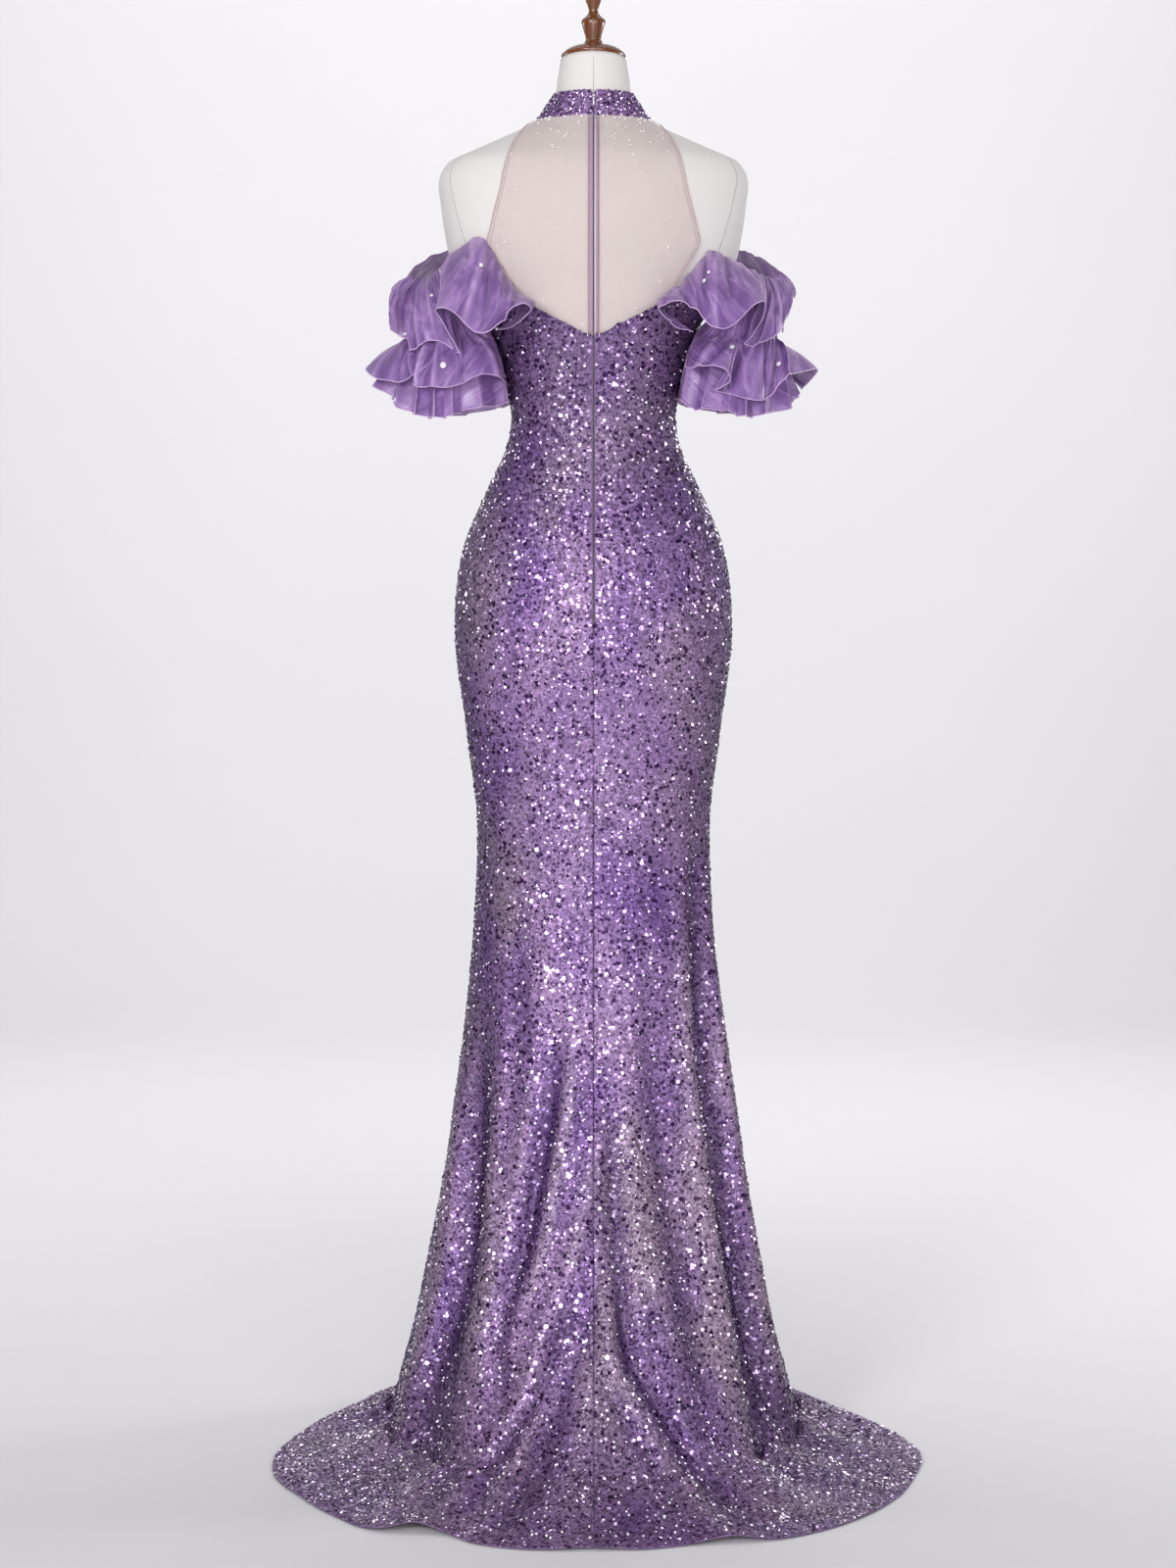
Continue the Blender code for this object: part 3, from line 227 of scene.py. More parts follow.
# Folds: turn at the top, turn at the floor, depth, half width in degrees, height where it starts,
# lift of the ridge it leaves on the train.
FOLDS = sizes([
    (-56, -53, 17, 9, 620, 5), (-35, -37, 7, 9, 420, 6), (-15, -27, 11, 7.5, 560, 6),
    (-3, -15.5, 20, 6.5, 300, 13), (6, 4, 8, 7, 440, 6), (14, 21, 11, 7, 300, 11), (34, 36, 5, 9, 360, 5),
    (60, 58, 24, 7.5, 800, 8), (84, 83, 7, 9, 450, 4), (-84, -82, 6, 9, 400, 4), (112, 114, 9, 12, 500, 3),
    (146, 148, 11, 13, 560, 3), (-112, -114, 9, 12, 500, 3), (-146, -148, 11, 13, 560, 3),
    (180, 180, 6, 12, 420, 3),
], plain=[0, 1, 3])

# Soft creases of the back skirt: height and x down the crease, its depth (a ridge is negative), half width.
CREASES = [(sizes(line), sizes([fold])[0]) for line, fold in (
    (((300, 2), (156, -46), (113, -63), (71, -86), (39, -112), (16, -150)), (11.5, 11)),
    (((340, -8), (221, -21), (176, -38), (96, -67), (16, -98)), (-6.8, 12)),
    (((560, -26), (434, -34), (324, -54), (249, -68), (180, -98)), (-6.8, 13)),
    (((540, -40), (423, -48), (268, -79), (150, -112)), (6.8, 12)),
    (((560, -130), (386, -142), (221, -153), (154, -174), (60, -205)), (9.5, 13)),
    (((280, 4), (156, 18), (95, 56), (16, 100)), (-8.1, 13)),
    (((240, 26), (136, 42), (86, 78), (16, 128)), (9.5, 11)),
    (((760, 124), (478, 134), (314, 157), (182, 181), (96, 200), (16, 240)), (12.1, 12)),
    (((640, 60), (430, 72), (250, 94), (100, 128)), (4.1, 14)),
    (((700, -80), (520, -92), (360, -108)), (3.5, 14)),
    (((480, 20), (330, 24), (210, 34)), (4.1, 11)),
)]

# Small pulls across the seat and waist: turn, height, slope, depth, half width, half length in degrees.
PULLS = sizes([
    (12, 1246, 0.1, 1.1, 6, 16), (-14, 1256, -0.12, 1.2, 6, 18), (30, 1233, 0.2, 0.9, 5.5, 15),
    (-34, 1230, -0.18, 1, 5.5, 15), (24, 905, 0.06, 1.2, 8, 18), (-26, 898, -0.08, 1.2, 8, 18),
    (150, 1248, 0.14, 1.1, 6, 20), (-152, 1242, -0.14, 1.1, 6, 20),
], plain=[0, 2, 5])

# Neckline of the sequinned bodice: turn from the centre back, height.
NECKLINE = sizes([
    (0, 1340.3), (2.4, 1341.8), (4.5, 1343.3), (9.5, 1349.8), (14.5, 1355.9), (19.5, 1361.9), (25, 1368.7),
    (31, 1376.9), (37, 1380), (45, 1380.2), (60, 1374.8), (90, 1372.5), (115, 1395), (135, 1423), (148, 1433),
    (160, 1427), (172, 1406), (180, 1397),
], plain=[0])

# Edges of the sheer yoke: height at the centre, half width and height at the armhole.
YOKE_BACK = sizes([
    (1602.5, 69, 1601.8), (1590, 79.5, 1595.8), (1566.5, 95.3, 1570.1), (1538.3, 104.5, 1543.5),
    (1505.7, 110.1, 1515.9), (1476.3, 116.4, 1491.4), (1447, 122.3, 1466.9), (1417.7, 125.2, 1449.3),
    (1388.4, 110.6, 1422.9), (1363.9, 93, 1396.5), (1342.6, 75.5, 1378.5),
])
YOKE_FRONT = sizes([
    (1602.5, 69, 1601.8), (1590, 79.5, 1595.8), (1570, 91, 1573.5), (1540, 99, 1545), (1510, 105, 1515),
    (1480, 109, 1485), (1450, 111, 1458), (1434, 110, 1434),
])

# Rings under a sleeve's flounces: height, distance of the middle from the axis, middle to the back,
# half width, half depth, rise of the outer side.
ARM_BAND = sizes([
    (1386, 185, 6, 29, 42, 6), (1340, 172.1, 15, 46.9, 55, 0),
])

# Stations of the upper flounces, from the back neckline corner round to the front:
# seam across, seam depth, seam height, hem across, hem depth, hem height.
LEFT_UPPER = sizes([
    (-87.9, -91.5, 1372.6, -112.9, -108, 1346.2), (-77.1, -95.5, 1376.7, -95, -122, 1349.2),
    (-80.1, -95, 1381.2, -73.8, -142, 1366.7), (-85.9, -94, 1386.1, -82.6, -158, 1372.3),
    (-91.8, -92.5, 1392.1, -97.8, -163, 1365.7), (-99.7, -91.5, 1403.9, -107.5, -160, 1353.4),
    (-108.5, -90.5, 1418.6, -121, -158, 1342), (-117.3, -89, 1434.4, -136.4, -158, 1340.1),
    (-125.7, -87, 1448.7, -148.1, -152, 1348.2), (-136.2, -80.5, 1457.2, -160.1, -142, 1361.4),
    (-152.3, -69, 1450.8, -174.1, -132, 1369.8), (-167.6, -56, 1440.2, -186.6, -112, 1369.2),
    (-180, -44, 1429.3, -182.7, -92, 1357.9), (-192.5, -30, 1416.6, -179.3, -80, 1345),
    (-199, -21, 1412.8, -192.9, -84, 1339.9), (-205.4, -12, 1412.1, -208.8, -78, 1345.1),
    (-211.3, -3, 1412.8, -225.6, -60, 1364), (-217.3, 6, 1413.5, -240.7, -38, 1377.3),
    (-221.4, 16, 1417.3, -245.6, -15, 1373), (-223.9, 26, 1421.1, -240.5, 8, 1357.5),
    (-215.3, 43, 1434.6, -233.9, 32, 1351), (-199.9, 58, 1444.9, -232.4, 60, 1359.8),
    (-183.1, 69, 1453, -231, 88, 1378), (-165.2, 79, 1460, -211.7, 110, 1381.5),
    (-146.2, 90, 1462, -187.4, 118, 1365.6), (-130.2, 100, 1452.6, -165.4, 134, 1367.7),
    (-117.1, 109, 1441, -139.1, 152, 1390.6), (-109, 115, 1430.2, -116.2, 150, 1386.3),
])
RIGHT_UPPER = sizes([
    (90.9, -91, 1370.7, 117.7, -108, 1343.3), (79.6, -94.5, 1373.4, 101.8, -120, 1346.4),
    (82, -94, 1377.8, 89, -130, 1354.5), (86.9, -93, 1383.3, 77.6, -142, 1368.1),
    (94.3, -92, 1393.1, 86.5, -156, 1374.8), (102.6, -91, 1402, 101.2, -162, 1375.9),
    (111.4, -89.5, 1410.9, 115.1, -162, 1369.6), (123.3, -87, 1423.8, 124.8, -160, 1359.7),
    (131.7, -83.5, 1436.8, 136.3, -160, 1347.7), (139.7, -79, 1441.6, 149.8, -158, 1344),
    (151.3, -69, 1439, 162.6, -152, 1348.7), (164.6, -57, 1433.2, 175.5, -142, 1360.4),
    (178, -44, 1427.4, 188.8, -128, 1373.9), (190.1, -30, 1422.1, 203.4, -108, 1380.2),
    (200.1, -18, 1418.1, 203.5, -87, 1369), (207.5, -10, 1416.2, 199.3, -72, 1351.4),
    (213.4, -2, 1415.8, 209.1, -74, 1341.4), (218.9, 7, 1415.6, 223.4, -64, 1347),
    (223.4, 16, 1417.3, 233, -42, 1363.2), (226, 26, 1421.1, 236.8, -20, 1376.6),
    (220.2, 40, 1431.3, 236.3, 5, 1372.3), (208.6, 51, 1442.3, 232.7, 30, 1355.9),
    (195.9, 60, 1449.2, 232.3, 58, 1353.6), (182.1, 69, 1454, 232.9, 86, 1373.8),
    (164.2, 79, 1460, 211.7, 110, 1381.5), (146.2, 90, 1462, 187.4, 118, 1365.6),
    (130.2, 100, 1452.6, 165.4, 134, 1367.7), (117.1, 109, 1441, 139.1, 152, 1390.6),
    (109, 115, 1430.2, 116.2, 150, 1386.3),
])

# Extra hem folds of the upper flounces: place along the stations, then where the hem goes.
LEFT_FOLDS = sizes([
    (12, -179, -100, 1356), (12.5, -168, -98, 1336), (12.9, -161, -96, 1323.5), (13, -159.2, -94.5, 1321),
    (13.1, -159, -93, 1320), (13.3, -164, -89, 1321.5), (13.6, -174, -86, 1329), (14, -185, -85, 1334.5),
    (15, -200, -82, 1333), (15.3, -211, -79, 1326.2), (15.5, -218, -75, 1323.5), (15.7, -220, -70, 1326.2),
    (15.9, -221, -65, 1335), (16, -224, -62, 1338.5), (16.2, -229, -56, 1340), (17, -240.5, -38, 1350),
], plain=[0])
RIGHT_FOLDS = sizes([
    (14, 201, -92, 1362), (14.5, 190, -88, 1344), (14.9, 183.5, -83, 1333), (15, 183.2, -81, 1330.2),
    (15.1, 184.5, -79, 1329), (15.4, 192, -76, 1329), (16, 209.1, -74, 1337),
], plain=[0])

# Hem stations of the lower flounces, once round the arm from the inner back: across, depth, height.
LEFT_OVER = sizes([
    (-119.2, -75, 1289.9), (-134.8, -92, 1294.9), (-143.9, -97, 1292.2), (-157.9, -101, 1282.8),
    (-174.4, -103, 1278.8), (-193, -101, 1279.4), (-210.9, -95, 1280.6), (-211.6, -82, 1295.9),
    (-217.7, -77, 1292.2), (-230.4, -78, 1286.3), (-246.5, -71, 1288.6), (-264, -52, 1292.5),
    (-275.6, -28, 1304.1), (-271.9, -2, 1305.9), (-261.3, 20, 1299), (-258.9, 45, 1294.2),
    (-259.5, 70, 1303.5), (-241.2, 88, 1300.3), (-216.6, 86, 1290), (-194.5, 94, 1296.5),
    (-168.7, 90, 1292.2), (-142.6, 74, 1295.6), (-122.3, 44, 1292.1), (-114, 0, 1288), (-113.3, -42, 1288),
])
RIGHT_OVER = sizes([
    (115, -70, 1313.2), (117.9, -86, 1304.5), (125.8, -98, 1301.4), (136.3, -106, 1304.4),
    (148.8, -108.5, 1303.3), (160, -108, 1296), (161.8, -100, 1286), (152, -95.5, 1279), (149, -89, 1275.5),
    (158, -86.5, 1272.5), (171.8, -94.5, 1268.4), (186.7, -101, 1264.2), (201, -96, 1264), (212, -87, 1270.5),
    (220, -82, 1281), (228.5, -80, 1291), (240, -71.5, 1296.5), (256.6, -53, 1300.8), (272.1, -28, 1304.6),
    (267.7, -4, 1296.8), (259.3, 20, 1285.9), (256.9, 45, 1284), (257.4, 69, 1293.3), (239.1, 87, 1292.1),
    (214.5, 86, 1283.9), (193.4, 94, 1290.4), (167.7, 90, 1288.1), (142.6, 74, 1291.5), (123.3, 44, 1294.1),
    (114, 0, 1296), (112.9, -40, 1305.9),
])
LEFT_UNDER = sizes([
    (-123.2, -56, 1261.7), (-135.5, -72, 1257.6), (-149, -80, 1254.8), (-162.5, -85, 1248.3),
    (-179, -87, 1244.3), (-195.8, -85, 1244.4), (-212.7, -79, 1248), (-229.1, -67, 1254.9),
    (-243.9, -50, 1265.9), (-256.2, -28, 1279.7), (-259.7, -4, 1286.8), (-253.3, 20, 1280.9),
    (-240.5, 42, 1269.8), (-222.2, 58, 1260.3), (-200.3, 67, 1252.5), (-177, 70, 1250.6),
    (-153.5, 66, 1254.5), (-131.8, 56, 1260.2), (-119.1, 36, 1263.5), (-117.2, 6, 1265.2),
    (-117.2, -28, 1264.8),
])
RIGHT_UNDER = sizes([
    (124.2, -56, 1263.7), (132.6, -71, 1254.2), (146, -81, 1253.8), (162.4, -86, 1250.7),
    (179.1, -86, 1244.8), (194.9, -83, 1245.9), (210.9, -76, 1251.1), (225.4, -63, 1252.6),
    (236.4, -44, 1261.2), (242.8, -20, 1271.1), (244.4, 6, 1274.3), (239.8, 30, 1268.3), (226.8, 50, 1260),
    (207.2, 63, 1253.4), (184.1, 69, 1252.6), (159.6, 67, 1254.5), (137, 58, 1260.3), (120.1, 38, 1265.6),
    (117.2, 6, 1268.3), (117.2, -28, 1268.8),
])

# Crystals sewn on the sleeves: where each is seen from behind, across and up, and its width.
CRYSTALS = sizes([
    (-137, 1430.2, 5.6), (-196.6, 1393.6, 4.6), (-182.6, 1309.7, 7.4), (-228.9, 1347.5, 4),
    (135.4, 1411.3, 5.6), (140.1, 1421.9, 4), (169, 1331, 6.6), (226.2, 1310.9, 6.6),
])

# Turned finial and neck cap: height, radius.
CAP = sizes([
    (1675.9, 39.4), (1678.5, 39.9), (1681.5, 38.5), (1687, 33), (1691.5, 25), (1694, 16.5), (1695, 12.6),
])
FINIAL = sizes([
    (1695.3, 12.2), (1697.5, 10.8), (1700, 9.4), (1703.4, 10.3), (1711, 12.6), (1719.7, 14.7), (1724, 13.6),
    (1728.5, 8.5), (1733.7, 5.7), (1740, 7.4), (1746.8, 10.1), (1751, 10), (1754.5, 7.6), (1759, 9.8),
    (1765, 13), (1773, 14), (1781, 12.2), (1787, 8.2), (1790, 4),
])

# Seams of the form: turn, height.
SHOULDER_SEAM = sizes([
    (78, 1613), (84, 1600), (88, 1590), (90, 1580), (90, 1572), (90, 1564), (90, 1556),
], plain=[0])
ARMHOLE_SEAM = sizes([
    (67, 1556), (66, 1540), (64.5, 1520), (62, 1490), (59, 1460), (56, 1435), (53, 1415),
], plain=[0])
ARMHOLE_FRONT = sizes([
    (113, 1556), (114, 1540), (115.5, 1520), (118, 1490), (121, 1460), (124, 1438), (127, 1430),
], plain=[0])
BACK_SEAM = sizes([
    (0, 1674), (0, 1660), (0, 1645), (0, 1620), (0, 1560), (0, 1480), (0, 1360),
], plain=[0])
FRONT_SEAM = sizes([
    (180, 1674), (180, 1660), (180, 1645), (180, 1620), (180, 1560), (180, 1420),
], plain=[0])


def between(table, z, column):
    """Smoothly reads a column of a table at heights z, with the first column as its key."""
    rows = table[np.argsort(table[:, 0])]
    x = rows[:, 0]
    y = rows[:, column]
    slope = np.gradient(y, x)
    z = np.clip(np.asarray(z, float), x[0], x[-1])
    i = np.clip(np.searchsorted(x, z) - 1, 0, len(x) - 2)
    h = x[i + 1] - x[i]
    t = (z - x[i]) / h
    a = 2 * t**3 - 3 * t**2 + 1
    b = t**3 - 2 * t**2 + t
    c = 3 * t**2 - 2 * t**3
    d = t**3 - t**2
    return a * y[i] + b * h * slope[i] + c * y[i + 1] + d * h * slope[i + 1]


def ring_point(table, turn, z, out):
    """Point of a section table at a turn in degrees and a height, moved out by out."""
    t = np.radians(turn)
    power = 2.0 / between(table, z, 4)
    half = between(table, z, 1) + out
    back = between(table, z, 2) + out
    front = between(table, z, 3) + out
    sx = np.sign(np.sin(t)) * np.abs(np.sin(t)) ** power
    cy = np.abs(np.cos(t)) ** power
    y = np.where(np.cos(t) >= 0.0, -back * cy, front * cy)
    return np.stack([half * sx, y, np.broadcast_to(z, np.shape(sx))], axis=-1)


def turn_at(half_width, z, out):
    """Turn in degrees at which the form's section is this wide."""
    ratio = np.clip(half_width / (between(FORM, z, 1) + out), 0.0, 1.0)
    return np.degrees(np.arcsin(ratio ** (between(FORM, z, 4) / 2.0)))


def ease_in(x):
    """0 below 0, 1 above 1, and smooth between."""
    x = np.clip(x, 0.0, 1.0)
    return x * x * (3.0 - 2.0 * x)


def fold_shift(turn, z):
    """Inward move of the skirt at its folds."""
    shift = np.zeros(np.broadcast(turn, z).shape)
    for top, foot, depth, width, start, _ in FOLDS:
        down = np.clip((start - z) / start, 0.0, 1.0)
        middle = top + (foot - top) * down
        away = (turn - middle + 180.0) % 360.0 - 180.0
        beside = np.exp(-(((np.abs(away) - 1.7 * width) / width) ** 2))
        shift = shift + depth * ease_in(down * 1.6) * (np.exp(-((away / width) ** 2)) - 0.45 * beside)
    return shift


def train_lift(turn):
    """Height of the ridges that the folds leave on the train."""
    lift = np.zeros(np.shape(turn))
    for _, foot, _, width, _, rise in FOLDS:
        away = (np.abs((turn - foot + 180.0) % 360.0 - 180.0) - 1.5 * width) / (0.9 * width)
        lift = lift + rise * np.exp(-(away**2))
    return lift


def normals_of(grid, closed):
    """Unit normals of a grid of points, rows by columns."""
    if closed:
        along = np.roll(grid, -1, axis=1) - np.roll(grid, 1, axis=1)
    else:
        along = np.gradient(grid, axis=1)
    down = np.gradient(grid, axis=0)
    normal = np.cross(along, down)
    return normal / np.maximum(np.linalg.norm(normal, axis=-1, keepdims=True), 1e-12)


def smooth_loop(stations, count, closed):
    """Catmull-Rom curve through stations, resampled to count points."""
    n = len(stations)
    t = np.linspace(0.0, n if closed else n - 1, count, endpoint=not closed)
    i = np.floor(t).astype(int)
    if not closed:
        i = np.minimum(i, n - 2)
    f = (t - i)[:, None]

    def pick(k):
        return stations[k % n] if closed else stations[np.clip(k, 0, n - 1)]

    p0 = pick(i - 1)
    p1 = pick(i)
    p2 = pick(i + 1)
    p3 = pick(i + 2)
    return 0.5 * (2.0 * p1 + (p2 - p0) * f + (2.0 * p0 - 5.0 * p1 + 4.0 * p2 - p3) * f**2
                  + (3.0 * p1 - p0 - 3.0 * p2 + p3) * f**3)


def flounce_rows(seam, hem, parts, swell, middle):
    """Rows of a flounce from its seam to its hem, swelling away from the arm's middle."""
    away = ((seam + hem) / 2.0 - middle) * LEVEL
    away = away / np.linalg.norm(away, axis=1, keepdims=True)
    rows = []
    for part in parts:
        fall = part**1.25
        row = seam + (hem - seam) * np.array([part, part, fall])
        rows.append(row + away * swell * math.sin(math.pi * part))
    return np.array(rows)


def band_ring(row, side, turns, out):
    """A ring of the arm band, from the inner back round the outside to the front."""
    z, across, back, half_width, half_depth, rise = row
    t = np.radians(turns)
    x = side * (across - (half_width + out) * np.cos(t))
    y = -back - (half_depth + out) * np.sin(t)
    return np.stack([x, y, z + rise * (1.0 - np.cos(t)) / 2.0], axis=1)


def station_turns(hem, side):
    """Turns of hem stations round the arm band's middle."""
    x = side * hem[:, 0] - ARM_BAND[-1, 1]
    y = -(hem[:, 1] + ARM_BAND[-1, 2])
    turn = np.degrees(np.arctan2(y / ARM_BAND[-1, 4], -x / ARM_BAND[-1, 3]))
    return np.unwrap(turn, period=360.0)


def even_turns(hem, side):
    """Turns of a closed hem's points, smoothed so that the gathers spread evenly."""
    turn = station_turns(hem, side)
    step = np.diff(np.append(turn, turn[0] + 360.0 * np.sign(turn[-1] - turn[0])))
    total = step.sum()
    mean = total / len(turn)
    step = GATHER_FOLLOW * step + (1.0 - GATHER_FOLLOW) * mean
    step = np.sign(total) * np.maximum(step * np.sign(total), GATHER_LEAST * abs(mean))
    return turn[0] + np.concatenate([[0.0], np.cumsum(step)[:-1]]) * total / step.sum()


def seated(seam, out):
    """The seam's points over the bodice laid at a distance off the form, easing away past the armhole."""
    width = np.abs(seam[:, 0])
    turn = turn_at(width, seam[:, 2], out)
    turn = np.where(seam[:, 1] > 0.0, 180.0 - turn, turn)
    laid = ring_point(FORM, turn, seam[:, 2], out)
    hold = 1.0 - ease_in((width - SEATED_TO) / (FREE_FROM - SEATED_TO))
    result = seam.copy()
    result[:, 1] += (laid[:, 1] - seam[:, 1]) * hold
    return result


def collar_back(z):
    """Depth of the collar's outside at the centre back."""
    return ring_point(FORM, np.array([0.0]), np.array([z]), COLLAR_EASE + COLLAR_WALL)[0, 1]


def crease_shift(point):
    """Inward move of the back skirt's points at its creases."""
    shift = np.zeros(point.shape[:-1])
    behind = ease_in((-point[..., 1]) / 0.05)
    for line, (depth, width) in CREASES:
        z = point[..., 2]
        x = np.interp(z, line[::-1, 0], line[::-1, 1])
        top, foot = line[0, 0], line[-1, 0]
        length = top - foot
        held = ease_in((top - z) / (0.45 * length))
        if foot > 0.03:
            held = held * ease_in((z - foot + 0.08) / 0.12)
        away = (point[..., 0] - x) / width
        crest = np.exp(-(away**2)) - 0.35 * np.exp(-((np.abs(away) - 1.8) ** 2))
        shift = shift + depth * held * behind * crest
    return shift


def pull_shift(turn, z):
    """Inward move of the cloth at the small pulls."""
    shift = np.zeros(np.broadcast(turn, z).shape)
    for middle, height, slope, depth, width, reach in PULLS:
        away = (turn - middle + 180.0) % 360.0 - 180.0
        line = height + slope * np.radians(away) * 0.10
        shift = shift + depth * np.exp(-(((z - line) / width) ** 2)) * np.exp(-((away / reach) ** 2))
    return shift


def moved_in(point, shift):
    """Points moved level towards the upright axis."""
    reach = np.linalg.norm(point[..., :2], axis=-1)
    shorter = (reach - shift) / reach
    return np.concatenate([point[..., :2] * shorter[..., None], point[..., 2:]], axis=-1)


def skirt_point(turn, z):
    """Point of the gown's outside between the neckline and the floor."""
    point = moved_in(ring_point(GOWN, turn, z, 0.0), fold_shift(turn, z) + pull_shift(turn, z))
    return moved_in(point, crease_shift(point))


def fold_depth(turn, height):
    """How deep the cloth lies in the skirt's folds at a turn and height; negative on a ridge."""
    return 0.6 * fold_shift(turn, height) + 1.2 * crease_shift(ring_point(GOWN, turn, height, 0.0))


def train_point(turn, part):
    """Point on the train, part of the way from the skirt's foot to the hem."""
    low = FOOT + SEQUIN_WALL
    end = np.full(np.shape(turn), SKIRT[-1, 0])
    foot = skirt_point(turn, end)
    azimuth = np.degrees(np.arctan2(foot[..., 0], -foot[..., 1]))
    reach = np.linalg.norm(foot[..., :2], axis=-1)
    hem = between(HEM, azimuth, 1)
    out = reach + (hem - reach) * part
    point = foot.copy()
    point[..., :2] *= (out / reach)[..., None]
    wave = 0.0010 * np.sin(np.radians(azimuth * 11.0) + 2.0)
    wave = wave + 0.0008 * np.sin(np.radians(azimuth * 23.0) + 0.6)
    crest = np.clip(-fold_depth(turn, end), -0.002, 0.012)
    ridge = np.maximum(1.5 * train_lift(azimuth) + wave + 0.0014 + 1.1 * crest, 0.0) * (1.0 - part) ** 1.1
    point[..., 2] = low + ridge + between(HEM, azimuth, 2) * part**3
    point[..., 2] += (SKIRT[-1, 0] - low) * (1.0 - part) ** 5
    return point


SKIRT_HEIGHTS = np.linspace(WAIST, SKIRT[-1, 0], SKIRT_STEPS)
TRAIN_PARTS = np.linspace(0.0, 1.0, TRAIN_STEPS + 1)[1:] ** 0.8


def panel_grid(turn):
    """Outside of a gown panel, from the neckline to the hem."""
    neck = between(NECKLINE, 180.0 - np.abs(180.0 - np.abs(turn)), 1)
    rows = []
    for part in np.linspace(0.0, 1.0, BODICE_STEPS, endpoint=False):
        rows.append(skirt_point(turn, neck + (WAIST - neck) * part))
    for z in SKIRT_HEIGHTS:
        rows.append(skirt_point(turn, np.full(len(turn), z)))
    for part in TRAIN_PARTS:
        rows.append(train_point(turn, part))
    return np.array(rows)


def panel_folds(turn):
    """How each point of a panel's grid lies in the folds: -1 on a ridge, 1 in a valley."""
    rows = [np.zeros(len(turn))] * BODICE_STEPS
    for z in SKIRT_HEIGHTS:
        rows.append(np.clip(fold_depth(turn, np.full(len(turn), z)) / DEEP_FOLD, -1.0, 1.0))
    foot = rows[-1]
    for part in TRAIN_PARTS:
        rows.append(foot * (1.0 - part) ** 0.7)
    return np.array(rows)


def settings():
    """The panel's sizes of the fine parts."""
    return bpy.context.scene.gown_settings


def colours():
    """The panel's colours."""
    return bpy.context.scene.gown_colours


def smooth(piece):
    """Shades all faces of a piece smoothly."""
    piece.data.polygons.foreach_set("use_smooth", [True] * len(piece.data.polygons))
    piece.data.update()


def make_mesh(name, points, faces, finish):
    """A piece of the gown or its form from points and faces."""
    mesh = bpy.data.meshes.new(name)
    points = np.ascontiguousarray(points, dtype=np.float32)
    corners = np.array([len(face) for face in faces])
    loops = np.concatenate(faces) if isinstance(faces, list) else faces.ravel()
    mesh.vertices.add(len(points))
    mesh.vertices.foreach_set("co", points.ravel())
    mesh.loops.add(len(loops))
    mesh.loops.foreach_set("vertex_index", loops.astype(np.int32))
    mesh.polygons.add(len(corners))
    starts = np.concatenate([[0], np.cumsum(corners)[:-1]])
    mesh.polygons.foreach_set("loop_start", starts.astype(np.int32))
    mesh.update(calc_edges=True)
    piece = bpy.data.objects.new(name, mesh)
    bpy.context.scene.collection.objects.link(piece)
    mesh.materials.append(look(finish))
    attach(piece, "gown")
    return piece


def grid_faces(rows, columns, closed, offset=0, flipped=False):
    """Four-sided faces of a grid, whose columns may close into rings."""
    last = columns if closed else columns - 1
    r, c = np.meshgrid(np.arange(rows - 1), np.arange(last), indexing="ij")
    a = r * columns + c
    b = r * columns + (c + 1) % columns
    quads = np.stack([a, b, b + columns, a + columns], axis=-1).reshape(-1, 4) + offset
    return quads[:, ::-1] if flipped else quads


def shell(name, outside, inside, closed, finish):
    """Cloth with an even wall, its faces pointing out."""
    rows, columns = outside.shape[:2]
    count = rows * columns
    points = np.vstack([outside.reshape(-1, 3), inside.reshape(-1, 3)])
    last = columns if closed else columns - 1
    c = np.arange(last)
    nxt = (c + 1) % columns
    low = (rows - 1) * columns
    parts = [
        grid_faces(rows, columns, closed),
        grid_faces(rows, columns, closed, count, True),
        np.stack([c, count + c, count + nxt, nxt], axis=-1),
        np.stack([low + c, low + nxt, count + low + nxt, count + low + c], axis=-1),
    ]
    if not closed:
        a = np.arange(rows - 1) * columns
        e = a + columns - 1
        parts.append(np.stack([a, a + columns, count + a + columns, count + a], axis=-1))
        parts.append(np.stack([e, count + e, count + e + columns, e + columns], axis=-1))
    faces = np.concatenate(parts)
    corner = points[faces]
    volume = np.einsum("ij,ij->i", corner[:, 0], np.cross(corner[:, 1], corner[:, 2])).sum()
    volume += np.einsum("ij,ij->i", corner[:, 0], np.cross(corner[:, 2], corner[:, 3])).sum()
    if volume < 0.0:
        faces = faces[:, ::-1]
    piece = make_mesh(name, points, faces, finish)
    smooth(piece)
    along = np.linalg.norm(np.diff(outside, axis=1), axis=-1)
    down = np.linalg.norm(np.diff(outside, axis=0), axis=-1)
    u = np.concatenate([np.zeros((rows, 1)), np.cumsum(along, axis=1)], axis=1)
    u = u - u[:, columns // 2][:, None]
    v = np.concatenate([np.zeros((1, columns)), np.cumsum(down, axis=0)], axis=0)
    flat = np.stack([u, v], axis=-1).reshape(-1, 2)
    flat = np.vstack([flat, flat])
    layer = piece.data.uv_layers.new(name="cloth")
    index = np.empty(len(piece.data.loops), np.int32)
    piece.data.loops.foreach_get("vertex_index", index)
    layer.data.foreach_set("uv", flat[index].astype(np.float32).ravel())
    return piece


def cell_corners(grid):
    """The four corners of each cell of a grid, in turn round the cell."""
    return grid[:-1, :-1], grid[:-1, 1:], grid[1:, 1:], grid[1:, :-1]


